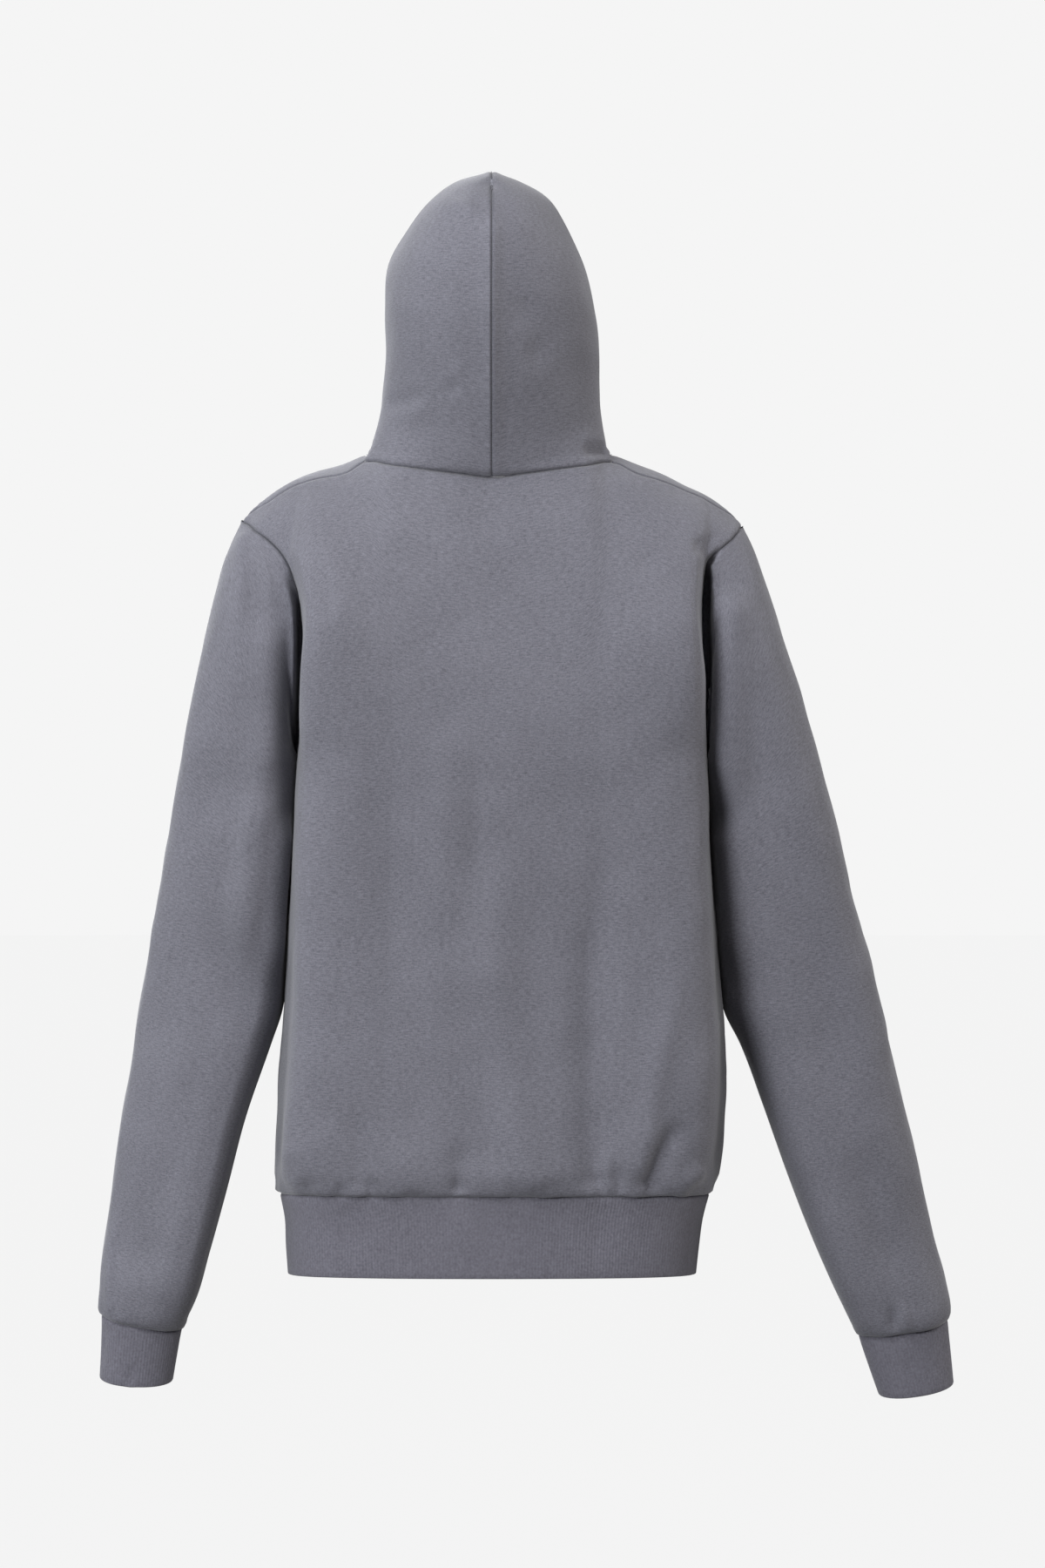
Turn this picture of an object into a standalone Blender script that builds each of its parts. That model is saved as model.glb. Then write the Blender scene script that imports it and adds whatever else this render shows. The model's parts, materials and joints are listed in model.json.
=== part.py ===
"""A zip-up hoodie in its worn, hollow form, hung from the neck and shoulders.

Metres, +Z up. The zip faces -Y and the wearer's left is +X. The origin is the middle of the neck opening.
Every cloth piece is a grid of points on the outer face. A wall goes inward from it, and neighbours share the
points of their seam, where a thin gap parts them.
"""

import math

import bmesh
import bpy
import numpy as np

# Cloth
WALL = 0.002
SEAM_GAP = 0.0003

# Body
CHEST_Z = -0.247  # height of the underarm points
HEM_SEAM_Z = -0.6086  # where the waistband is sewn on
HEM_Z = -0.674
SIDE_ROUNDNESS = 2.4  # exponent of the body's oval rings
FRONT_OPENING = 0.007  # from the middle of the zip to the edge of the cloth
NECK_REACHED_RISE = 0.6  # the columns that end on the neckline are straight from here up
FLAT_SIDE_RISE = 0.625  # from here up the rows run straight out to the armhole
ARMWARD_POWER = 1.3  # how late in a row the armhole's reach takes over

# Grid steps
HALF_COLUMNS = 12  # from the middle of the body to its side; a third of them lie inside the neck
NECK_COLUMN = HALF_COLUMNS // 3
RISE_STEPS = (0, 0.08, 0.18, 0.30, 0.42, 0.54, 0.66, 0.77, 0.87, 0.94, 1)  # underarm to shoulder seam
BODY_LEVELS = (HEM_SEAM_Z, -0.605, -0.597, -0.575, -0.540, -0.490, -0.440, -0.390, -0.340, -0.295, -0.265)
BAND_LEVELS = (HEM_Z, -0.652, -0.630, HEM_SEAM_Z)
CUFF_RINGS = 4

# Sleeve
SLEEVE_ROUNDNESS = 2.2
SHELF_AT_SHOULDER = 0.0028  # the sleeve leaves its seam square to the rim for this far
SHELF_AT_UNDERARM = 0.0050
MITRE_OUT = 0.6  # share of the body's way out in an armhole rim's direction

# Hood
HOOD_ROUNDNESS = 2.15
FACE_ANGLE = math.radians(150)  # from the centre back seam round to the face edge
NECK_EASE_ROWS = 5
HOOD_WIDEST = 0.48  # share of the way from the back seam to the face edge

# Zip, with depths measured inward from the cloth's outer face
CHAIN_HALF_WIDTH = 0.0029
TAPE_OUTER_X = 0.0170
TAPE_DEPTHS = (0.0025, 0.0035)
CHAIN_DEPTHS = (0.0018, 0.0042)
ZIP_TOP_DROP = 0.004  # the tapes end this far under the neck seam
STOP_LENGTH = 0.004
BOX_LENGTH = 0.010
BOX_HALF_WIDTH = 0.0042
BOX_DEPTHS = (0.0010, 0.0022)
SLIDER_LENGTH = 0.011
SLIDER_HALF_WIDTH = 0.0046
SLIDER_FRONT_DEPTHS = (-0.0012, 0.0017)
SLIDER_BACK_DEPTHS = (0.0040, 0.0053)
EAR_X = (0.0022, 0.0034)
EAR_LENGTH = 0.0044
EAR_ROOT = 0.0006  # how far the ears sink into the slider's front plate
EAR_ABOVE_PIN = 0.0014
PIN_SHARE = 0.62  # how far up the slider the pin lies
PIN_DEPTH = -0.0037
PIN_RADIUS = 0.0007
PULL_EYE_RADIUS = 0.0021
PULL_EYE_HOLE = 0.0011
PULL_EYE_HALF_WIDTH = 0.0018
PULL_HALF_WIDTH = 0.0034
PULL_NECK = (0.0016, 0.0046)  # the narrow stretch, down from the pin
PULL_WIDE_FROM = 0.0072
PULL_LENGTH = 0.026
PULL_THICKNESS = 0.0014
PULL_HOLE_RADIUS = 0.0014
PATH_REACH = 0.004  # the zip's direction is taken over this far each way


def table(names, *rows):
    """A table with named columns: the first column is the key that the others are read by."""
    return dict(zip(names.split(), np.array(rows, float).T))


# Rings of the body below the underarm. left and right are half widths, back and front are depths.
BODY = table(
    "z left right back front",
    (-0.6086, 0.1752, 0.1798, 0.1040, 0.1060),
    (-0.6030, 0.1763, 0.1828, 0.1085, 0.1065),
    (-0.5870, 0.1780, 0.1872, 0.1125, 0.1080),
    (-0.5440, 0.1768, 0.1915, 0.1130, 0.1095),
    (-0.4720, 0.1740, 0.1925, 0.1105, 0.1105),
    (-0.4150, 0.1700, 0.1872, 0.1095, 0.1115),
    (-0.3560, 0.1675, 0.1828, 0.1110, 0.1145),
    (-0.3000, 0.1630, 0.1800, 0.1145, 0.1185),
    (-0.2470, 0.1606, 0.1775, 0.1175, 0.1220),
)

# The top edge of the back panel, by share of the half width: neckline to 0.5, then shoulder seam.
BACK_TOP = table(
    "share x y left_z right_z",
    (0.000, 0.0000, 0.0640, -0.0189, -0.0189),
    (0.131, 0.0270, 0.0630, -0.0158, -0.0158),
    (0.259, 0.0540, 0.0580, -0.0120, -0.0120),
    (0.383, 0.0800, 0.0470, -0.0080, -0.0085),
    (0.500, 0.1010, 0.0190, -0.0050, -0.0055),
    (0.609, 0.1240, 0.0140, -0.0115, -0.0120),
    (0.707, 0.1440, 0.0110, -0.0158, -0.0185),
    (0.793, 0.1620, 0.0090, -0.0222, -0.0262),
    (0.866, 0.1770, 0.0080, -0.0300, -0.0325),
    (0.924, 0.1890, 0.0070, -0.0378, -0.0395),
    (0.966, 0.1980, 0.0065, -0.0450, -0.0472),
    (1.000, 0.2070, 0.0060, -0.0540, -0.0575),
)

# The neckline of a front panel. Its shoulder seam is the back panel's.
FRONT_NECK = table(
    "share x y z",
    (0.000, 0.0070, -0.0900, -0.0780),
    (0.131, 0.0500, -0.0820, -0.0520),
    (0.259, 0.0840, -0.0560, -0.0200),
    (0.383, 0.0990, -0.0180, 0.0020),
    (0.500, 0.1010, 0.0190, -0.0050),
)
NECK_STRETCH = {1: 1.05, -1: 0.99}  # the neck is a little wider on the left

# The armhole edge. reach runs from the side's width at 0 to the shoulder's at 1.
ARMHOLE = table(
    "rise reach back front",
    (0.00, 0.00, 0.000, 0.000),
    (0.08, -0.05, 0.022, -0.024),
    (0.18, -0.10, 0.043, -0.044),
    (0.30, -0.14, 0.058, -0.059),
    (0.42, -0.15, 0.064, -0.066),
    (0.54, -0.12, 0.063, -0.066),
    (0.66, 0.02, 0.057, -0.058),
    (0.77, 0.28, 0.047, -0.042),
    (0.87, 0.60, 0.033, -0.024),
    (0.94, 0.82, 0.020, -0.009),
    (1.00, 1.00, 0.006, 0.006),
)
RIDGE_Y = table("share y", (0.0, -0.005), (0.5, -0.008), (1.0, -0.012))  # where the shoulder is highest

# Sections of the sleeves: the point nearest the body, the outermost point and half the depth between front
# and back. The inner point lies further forward than the body's widest line, so that it passes just clear of it.
LEFT_SLEEVE = table(
    "step in_x in_y in_z out_x out_y out_z half_depth pitch",
    (1, 0.1640, -0.010, -0.2530, 0.2158, 0.000, -0.0740, 0.0685, 0.00),
    (2, 0.1615, -0.020, -0.2640, 0.2275, 0.000, -0.1100, 0.0735, 0.00),
    (3, 0.1612, -0.029, -0.2860, 0.2420, -0.001, -0.1760, 0.0760, 0.00),
    (4, 0.1634, -0.034, -0.3200, 0.2590, -0.005, -0.2600, 0.0745, 0.02),
    (5, 0.1673, -0.036, -0.3700, 0.2740, -0.010, -0.3450, 0.0700, 0.04),
    (6, 0.1700, -0.037, -0.4250, 0.2855, -0.016, -0.4150, 0.0645, 0.06),
    (7, 0.1736, -0.037, -0.4560, 0.2904, -0.018, -0.4460, 0.0620, 0.07),
    (8, 0.1830, -0.036, -0.4840, 0.2945, -0.020, -0.4720, 0.0600, 0.08),
    (9, 0.2050, -0.034, -0.5480, 0.3045, -0.024, -0.5350, 0.0560, 0.10),
    (10, 0.2202, -0.034, -0.6060, 0.3137, -0.026, -0.5930, 0.0520, 0.13),
    (11, 0.2336, -0.034, -0.6540, 0.3205, -0.028, -0.6420, 0.0475, 0.16),
    (12, 0.2460, -0.034, -0.6960, 0.3250, -0.029, -0.6840, 0.0415, 0.19),
    (13, 0.2552, -0.034, -0.7150, 0.3255, -0.030, -0.7040, 0.0355, 0.20),
    (14, 0.2570, -0.034, -0.7200, 0.3240, -0.030, -0.7095, 0.0312, 0.20),
)
RIGHT_SLEEVE = table(
    "step in_x in_y in_z out_x out_y out_z half_depth pitch",
    (1, 0.1812, -0.010, -0.2530, 0.2155, 0.000, -0.0760, 0.0685, 0.00),
    (2, 0.1788, -0.020, -0.2640, 0.2275, 0.000, -0.1100, 0.0735, 0.00),
    (3, 0.1786, -0.029, -0.2860, 0.2480, -0.001, -0.1760, 0.0760, 0.00),
    (4, 0.1803, -0.034, -0.3200, 0.2725, -0.005, -0.2600, 0.0745, 0.02),
    (5, 0.1822, -0.037, -0.3700, 0.2950, -0.010, -0.3450, 0.0700, 0.04),
    (6, 0.1853, -0.040, -0.4250, 0.3125, -0.016, -0.4150, 0.0645, 0.06),
    (7, 0.1897, -0.039, -0.4570, 0.3200, -0.018, -0.4460, 0.0620, 0.07),
    (8, 0.2030, -0.038, -0.4840, 0.3265, -0.020, -0.4720, 0.0600, 0.08),
    (9, 0.2233, -0.035, -0.5350, 0.3382, -0.023, -0.5220, 0.0568, 0.10),
    (10, 0.2439, -0.034, -0.5900, 0.3512, -0.025, -0.5770, 0.0531, 0.12),
    (11, 0.2692, -0.034, -0.6540, 0.3660, -0.028, -0.6420, 0.0475, 0.16),
    (12, 0.2890, -0.034, -0.6980, 0.3760, -0.029, -0.6840, 0.0415, 0.19),
    (13, 0.3000, -0.034, -0.7200, 0.3788, -0.030, -0.7080, 0.0355, 0.20),
    (14, 0.3038, -0.034, -0.7262, 0.3778, -0.030, -0.7140, 0.0312, 0.20),
)
LEFT_CUFF = table(
    "step in_x in_y in_z out_x out_y out_z half_depth pitch",
    (0, 0.2570, -0.034, -0.7200, 0.3240, -0.030, -0.7095, 0.0312, 0.20),
    (1, 0.2595, -0.034, -0.7320, 0.3245, -0.031, -0.7240, 0.0308, 0.20),
    (2, 0.2650, -0.036, -0.7640, 0.3260, -0.034, -0.7615, 0.0305, 0.20),
)
RIGHT_CUFF = table(
    "step in_x in_y in_z out_x out_y out_z half_depth pitch",
    (0, 0.3038, -0.034, -0.7262, 0.3778, -0.030, -0.7140, 0.0312, 0.20),
    (1, 0.3080, -0.034, -0.7400, 0.3790, -0.031, -0.7290, 0.0308, 0.20),
    (2, 0.3205, -0.036, -0.7755, 0.3833, -0.034, -0.7660, 0.0305, 0.20),
)

# Rows of a hood half from the neck seam up, each from the face edge round to the centre back seam.
HOOD = table(
    "row back_y back_z face_x face_y face_z left right side_rise",
    (0, 0.0640, -0.0189, 0.0070, -0.0900, -0.0780, 0.1035, 0.1035, 0.0550),
    (1, 0.0690, -0.0080, 0.0160, -0.0960, -0.0640, 0.1000, 0.0985, 0.0490),
    (2, 0.0730, 0.0050, 0.0290, -0.1010, -0.0470, 0.0970, 0.0955, 0.0430),
    (3, 0.0810, 0.0280, 0.0470, -0.1070, -0.0170, 0.0930, 0.0920, 0.0340),
    (4, 0.0905, 0.0570, 0.0610, -0.1120, 0.0180, 0.0915, 0.0907, 0.0250),
    (5, 0.1000, 0.0920, 0.0695, -0.1150, 0.0580, 0.0900, 0.0907, 0.0150),
    (6, 0.1060, 0.1290, 0.0710, -0.1160, 0.1030, 0.0905, 0.0880, 0.0080),
    (7, 0.1045, 0.1610, 0.0665, -0.1150, 0.1470, 0.0865, 0.0780, 0.0050),
    (8, 0.0950, 0.1870, 0.0560, -0.1120, 0.1810, 0.0705, 0.0630, 0.0055),
    (9, 0.0800, 0.2060, 0.0400, -0.1090, 0.2030, 0.0505, 0.0470, 0.0080),
    (10, 0.0630, 0.2170, 0.0200, -0.1070, 0.2150, 0.0305, 0.0255, 0.0105),
    (11, 0.0480, 0.2230, 0.0000, -0.1050, 0.2190, 0.0000, 0.0000, 0.0140),
)
BAND = table(
    "z left right back front",
    (-0.6740, 0.1688, 0.1690, 0.1010, 0.1045),
    (-0.6520, 0.1700, 0.1712, 0.1020, 0.1052),
    (-0.6300, 0.1708, 0.1742, 0.1025, 0.1058),
    (-0.6086, 0.1752, 0.1798, 0.1040, 0.1060),
)

# Finishes: base colour, roughness and metallic
FABRIC = ((0.176, 0.176, 0.201, 1.0), 0.9, 0.0)
RIB = ((0.150, 0.147, 0.173, 1.0), 0.9, 0.0)
TAPE = ((0.120, 0.118, 0.138, 1.0), 0.8, 0.0)
METAL = ((0.55, 0.55, 0.56, 1.0), 0.35, 1.0)


def read(columns, name, at):
    """A table's column at a key, on smooth curves through its rows."""
    keys = next(iter(columns.values()))
    values = columns[name]
    slopes = np.gradient(values, keys)
    i = int(np.clip(np.searchsorted(keys, at) - 1, 0, len(keys) - 2))
    step = keys[i + 1] - keys[i]
    t = (at - keys[i]) / step
    near = (1 + 2 * t) * (1 - t) ** 2 * values[i] + t * (1 - t) ** 2 * step * slopes[i]
    far = t * t * (3 - 2 * t) * values[i + 1] - t * t * (1 - t) * step * slopes[i + 1]
    return near + far


def unit(vectors):
    return vectors / np.maximum(np.linalg.norm(vectors, axis=-1, keepdims=True), 1e-12)


def oval(angle, roundness):
    """The cosine and sine sides of a rounded oval."""
    cos, sin = math.cos(angle), math.sin(angle)
    return (
        math.copysign(abs(cos) ** (2 / roundness), cos),
        math.copysign(abs(sin) ** (2 / roundness), sin),
    )


# ---------------------------------------------------------------- body
SHARES = [math.sin(math.pi / 2 * k / HALF_COLUMNS) for k in range(HALF_COLUMNS + 1)]


def hollowness(share, power):
    return max(0.0, 1 - share**SIDE_ROUNDNESS) ** (1 / power)


def ring_x(share, half_width, opened):
    """How far out a column lies on a level ring. An opened ring leaves room for the zip in the middle."""
    neck_share = SHARES[NECK_COLUMN]
    if opened and share < neck_share:
        return FRONT_OPENING + (neck_share * half_width - FRONT_OPENING) * share / neck_share
    return share * half_width


def ring_point(columns, z, share, side, front):
    x = ring_x(share, read(columns, "left" if side > 0 else "right", z), front)
    depth = read(columns, "front" if front else "back", z)
    y = depth * hollowness(share, SIDE_ROUNDNESS)
    return (side * x, -y if front else y, z)


def top_point(share, side, front):
    """The upper end of a column: on the neckline inside the neck, and on the shoulder seam outside it."""
    stretch = 1 + (NECK_STRETCH[side] - 1) * max(0.0, 1 - abs(share / SHARES[NECK_COLUMN] - 1))
    if front and share < SHARES[NECK_COLUMN] - 1e-6:
        x, y, z = (read(FRONT_NECK, name, share) for name in ("x", "y", "z"))
        return x * stretch, y, z
    height = read(BACK_TOP, "left_z" if side > 0 else "right_z", share)
    return read(BACK_TOP, "x", share) * stretch, read(BACK_TOP, "y", share), height


def upper_point(share, rise, side, front):
    """A point above the underarm. Each column is an arc from the chest over to its upper end."""
    chest_depth = read(BODY, "front" if front else "back", CHEST_Z) * (-1 if front else 1)
    side_x = read(BODY, "left" if side > 0 else "right", CHEST_Z)

    def arc(at_share):
        top_x, top_y, top_z = top_point(at_share, side, front)
        ridge_y = read(RIDGE_Y, "y", at_share)
        sweep = math.acos((top_y - ridge_y) / (chest_depth - ridge_y))
        height = (top_z - CHEST_Z) / math.sin(sweep)
        y = ridge_y + (chest_depth - ridge_y) * math.cos(sweep * rise)
        return top_x, y, CHEST_Z + height * math.sin(sweep * rise)

    top_x, y, z = arc(share)
    edge_y = read(ARMHOLE, "front" if front else "back", rise)
    power = SIDE_ROUNDNESS + (1 - SIDE_ROUNDNESS) * min(1.0, rise / FLAT_SIDE_RISE)
    y -= (arc(1.0)[1] - edge_y) * (1 - hollowness(share, power))
    chest_x = ring_x(share, side_x, front)
    early = min(1.0, rise / NECK_REACHED_RISE)
    early = early * early * (3 - 2 * early)
    armward = max(0.0, 2 * share - 1) ** ARMWARD_POWER
    x = chest_x + (top_x - chest_x) * (early + (read(ARMHOLE, "reach", rise) - early) * armward)
    if front and share < 1e-6:
        x = FRONT_OPENING
    return (side * x, y, z)


def body_half(side, front):
    """Rows from the hem seam up, columns from the middle out to the side."""
    rows = [[ring_point(BODY, z, share, side, front) for share in SHARES] for z in BODY_LEVELS]
    rows += [[upper_point(share, rise, side, front) for share in SHARES] for rise in RISE_STEPS]
    return np.array(rows)


def back_panel():
    left, right = body_half(1, False), body_half(-1, False)
    return np.concatenate([left[:, :0:-1], right], axis=1)


def band_ring(z):
    """From the zip round the left side, the back and the right side to the zip again."""
    left_front = [ring_point(BAND, z, share, 1, True) for share in SHARES]
    left_back = [ring_point(BAND, z, share, 1, False) for share in SHARES[-2::-1]]
    right_back = [ring_point(BAND, z, share, -1, False) for share in SHARES[1:]]
    right_front = [ring_point(BAND, z, share, -1, True) for share in SHARES[-2::-1]]
    return left_front + left_back + right_back + right_front


# ---------------------------------------------------------------- sleeves
def armhole_ring(back_edge, front_edge):
    """From the underarm up the back edge, over the shoulder and down the front edge."""
    return np.concatenate([back_edge, front_edge[-2:0:-1]])


def tube_ring(columns, step, side, count):
    inner, outer = (
        np.array((read(columns, end + "_x", step) * side, *(read(columns, end + k, step) for k in ("_y", "_z"))))
        for end in ("in", "out")
    )
    ring = []
    for i in range(count):
        across, along = oval(2 * math.pi * i / count, SLEEVE_ROUNDNESS)
        y = read(columns, "half_depth", step) * along
        lean = np.array((0, y, -read(columns, "pitch", step) * y))
        ring.append((inner + outer) / 2 + (inner - outer) / 2 * across + lean)
    return np.array(ring)


def armhole_shelf(armhole, mitres, side):
    """The sleeve's first stretch, square to the armhole's rim, so that it folds down clear of the body."""
    along = np.roll(armhole, -1, axis=0) - np.roll(armhole, 1, axis=0)
    outward = unit(np.cross(mitres, along))
    outward *= np.sign(outward[:, :1] * side)
    turn = 2 * np.pi * np.arange(len(armhole)) / len(armhole)
    length = SHELF_AT_SHOULDER + (SHELF_AT_UNDERARM - SHELF_AT_SHOULDER) * (1 + np.cos(turn)) / 2
    return armhole + outward * length[:, None]


def sleeve(columns, side, armhole, mitres):
    rings = [tube_ring(columns, step, side, len(armhole)) for step in columns["step"]]
    return np.array([armhole, armhole_shelf(armhole, mitres, side), *rings])


def cuff(columns, side, count):
    steps = np.linspace(0, columns["step"][-1], CUFF_RINGS)
    return np.array([tube_ring(columns, step, side, count) for step in steps])


# ---------------------------------------------------------------- hood
def hood_row(row, side, count):
    wide = read(HOOD, "left" if side > 0 else "right", row)
    back_y, back_z = read(HOOD, "back_y", row), read(HOOD, "back_z", row)
    face_x, face_y, face_z = (read(HOOD, name, row) for name in ("face_x", "face_y", "face_z"))
    rise = read(HOOD, "side_rise", row)
    middle_y = back_y + (face_y - back_y) * HOOD_WIDEST
    points = []
    for i in range(count):
        t = i / (count - 1)
        angle = (1 - t) * FACE_ANGLE
        if angle <= math.pi / 2:
            cos, sin = oval(angle, HOOD_ROUNDNESS)
            x, y = wide * sin, middle_y + (back_y - middle_y) * cos
        else:
            q = (angle - math.pi / 2) / (FACE_ANGLE - math.pi / 2)
            x, y = wide - (wide - face_x) * q * q, middle_y + (face_y - middle_y) * q
        z = face_z + (back_z - face_z) * t + rise * math.sin(math.pi * t)
        points.append((side * max(x, 0.0), y, z))
    return points


def hood_half(side, neck):
    """The first row is the neckline itself, and the next few ease from its shape into the hood's own."""
    rows = [np.array(hood_row(row, side, len(neck))) for row in HOOD["row"]]
    misfit = neck - rows[0]
    return np.array([row + misfit * max(0.0, 1 - k / NECK_EASE_ROWS) ** 2 for k, row in enumerate(rows)])


# ---------------------------------------------------------------- walls and seams
class Cloth:
    """One cut piece: its outer points in rows, the way out at each point, and its sewn edges."""

    def __init__(self, name, points, outward, closed=False, sewn=(), finish=FABRIC):
        self.name = name
        self.outer = points
        self.closed = closed
        self.sewn = sewn
        self.finish = finish
        self.normal = self.slopes(outward)

    def slopes(self, outward):
        up = np.gradient(self.outer, axis=0)
        if self.closed:
            across = np.roll(self.outer, -1, axis=1) - np.roll(self.outer, 1, axis=1)
        else:
            across = np.gradient(self.outer, axis=1)
        return unit(np.cross(across, up)) * outward

    def edge(self, name):
        rows, columns = self.outer.shape[:2]
        return {
            "first_row": (0, slice(None)),
            "last_row": (rows - 1, slice(None)),
            "first_column": (slice(None), 0),
            "last_column": (slice(None), columns - 1),
        }[name]

    def next_to(self, name):
        rows, columns = self.outer.shape[:2]
        return {
            "first_row": (1, slice(None)),
            "last_row": (rows - 2, slice(None)),
            "first_column": (slice(None), 1),
            "last_column": (slice(None), columns - 2),
        }[name]

    def mesh(self):
        """Outer and inner grids, parted from the neighbours at each sewn edge, and the rims between them."""
        inner = self.outer - WALL * self.normal
        outer = self.outer.copy()
        for name in self.sewn:
            edge, inside = self.edge(name), self.next_to(name)
            points, away = self.outer[edge], self.normal[edge]
            if self.closed and name.endswith("row"):
                along = np.roll(points, -1, axis=0) - np.roll(points, 1, axis=0)
            else:
                along = np.gradient(points, axis=0)
            pull = unit(np.cross(away, along))
            facing = np.sign((pull * (self.outer[inside] - points)).sum())
            outer[edge] += pull * facing * SEAM_GAP / 2
            inner[edge] += pull * facing * SEAM_GAP / 2
        rows, columns = outer.shape[:2]
        number = np.arange(rows * columns).reshape(rows, columns)
        if self.closed:
            number = np.concatenate([number, number[:, :1]], axis=1)
        layer = rows * columns
        faces = []
        for r in range(rows - 1):
            for c in range(number.shape[1] - 1):
                quad = [number[r, c], number[r, c + 1], number[r + 1, c + 1], number[r + 1, c]]
                faces.append(quad)
                faces.append([i + layer for i in reversed(quad)])
        rims = [number[0, ::-1], number[-1]]
        if not self.closed:
            rims += [number[:, 0], number[::-1, -1]]
        seam_points = self.outer.reshape(-1, 3)
        for rim in rims:
            for a, b in zip(rim[:-1], rim[1:]):
                # Both sides of a seam split their rim along the same diagonal, so that the gap stays even.
                if tuple(np.round(seam_points[a], 6)) < tuple(np.round(seam_points[b], 6)):
                    faces += [[a, a + layer, b + layer], [a, b + layer, b]]
                else:
                    faces += [[a, a + layer, b], [a + layer, b + layer, b]]
        return np.concatenate([outer.reshape(-1, 3), inner.reshape(-1, 3)]), faces


def place(point):
    """A point as a key, the same for every piece that is sewn there."""
    return tuple(np.round(point, 6) + 0.0)


def share_normals(cloths, mitres):
    """At each seam point the pieces that meet there get one common way out, so that their rims are parallel."""
    sums = {}
    for cloth in cloths:
        for point, normal in zip(cloth.outer.reshape(-1, 3), cloth.normal.reshape(-1, 3)):
            sums[place(point)] = sums.get(place(point), np.zeros(3)) + normal
    sums.update(mitres)
    for cloth in cloths:
        flat = cloth.normal.reshape(-1, 3)
        for i, point in enumerate(cloth.outer.reshape(-1, 3)):
            flat[i] = unit(sums[place(point)])
        cloth.normal = flat.reshape(cloth.outer.shape)


def armhole_mitres(ring, normals):
    """Round an armhole the rim points away from the hole's middle as well as out of the body."""
    away = ring - ring.mean(axis=0)
    away[:, 0] = 0
    return unit(unit(away) + MITRE_OUT * normals)


# ---------------------------------------------------------------- objects
def material(name, colour, roughness, metallic):
    made = bpy.data.materials.new(name)
    made.use_nodes = True
    shader = made.node_tree.nodes["Principled BSDF"]
    shader.inputs["Base Color"].default_value = colour
    shader.inputs["Roughness"].default_value = roughness
    shader.inputs["Metallic"].default_value = metallic
    return made


def add_object(name, points, faces, finish, collection):
    mesh = bpy.data.meshes.new(name)
    mesh.from_pydata([tuple(map(float, p)) for p in points], [], [[int(i) for i in f] for f in faces])
    shape = bmesh.new()
    shape.from_mesh(mesh)
    bmesh.ops.recalc_face_normals(shape, faces=shape.faces)
    if shape.calc_volume(signed=True) < 0:
        bmesh.ops.reverse_faces(shape, faces=shape.faces)
    shape.to_mesh(mesh)
    shape.free()
    mesh.shade_smooth()
    mesh.set_sharp_from_angle(angle=math.radians(40))
    mesh.materials.append(material(name, *finish))
    made = bpy.data.objects.new(name, mesh)
    collection.objects.link(made)
    return made


# ---------------------------------------------------------------- zip
class ZipPath:
    """The line down the middle of the front that the zip follows, measured from its lower end."""

    def __init__(self, points):
        self.points = points
        self.lengths = np.concatenate([[0], np.cumsum(np.linalg.norm(np.diff(points, axis=0), axis=1))])
        self.length = self.lengths[-1]

    def at(self, distance):
        """The place and the way up and out there, as y and z."""
        ends = [np.clip(distance + d, 0, self.length) for d in (-PATH_REACH, PATH_REACH)]
        low, high = (np.array([np.interp(e, self.lengths, self.points[:, k]) for k in (0, 1)]) for e in ends)
        here = np.array([np.interp(distance, self.lengths, self.points[:, k]) for k in (0, 1)])
        up = unit(high - low)
        return here, up, np.array((-up[1], up[0]))

    def point(self, x, distance, depth):
        here, _, out = self.at(distance)
        y, z = here - out * depth
        return (x, y, z)


def strip(name, path, start, end, outline, finish, collection):
    """An outline of (x, depth) points swept along the zip's path."""
    cuts = [start, *[d for d in path.lengths if start + 0.003 < d < end - 0.003], end]
    points = [path.point(x, distance, depth) for distance in cuts for x, depth in outline]
    n = len(outline)
    faces = [list(range(n)), list(range(len(points) - n, len(points)))[::-1]]
    for k in range(len(cuts) - 1):
        faces += [[k * n + i, k * n + n + i, k * n + n + (i + 1) % n, k * n + (i + 1) % n] for i in range(n)]
    return add_object(name, points, faces, finish, collection)


def rectangle(x0, x1, depths):
    return [(x0, depths[0]), (x1, depths[0]), (x1, depths[1]), (x0, depths[1])]


def slider_outline():
    """The slider seen from above: a front and a back plate round the tapes, joined by a core."""
    wide, core = SLIDER_HALF_WIDTH, CHAIN_HALF_WIDTH
    (a, b), (c, d) = SLIDER_FRONT_DEPTHS, SLIDER_BACK_DEPTHS
    half = [(wide, a), (wide, b), (core, b), (core, c), (wide, c), (wide, d)]
    return half + [(-x, depth) for x, depth in reversed(half)]


def cross_cylinder(name, radius, half_width, centre, collection):
    """A cylinder along X."""
    bpy.ops.mesh.primitive_cylinder_add(
        vertices=20, radius=radius, depth=2 * half_width, location=centre, rotation=(0, math.pi / 2, 0)
    )
    made = bpy.context.object
    made.name = name
    for owner in list(made.users_collection):
        owner.objects.unlink(made)
    collection.objects.link(made)
    return made


def combine(target, tool, operation):
    made = target.modifiers.new(f"{operation.title()} {tool.name}", "BOOLEAN")
    made.operation = operation
    made.object = tool
    made.solver = "EXACT"
    tool.hide_render = True
    tool.display_type = "WIRE"


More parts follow.
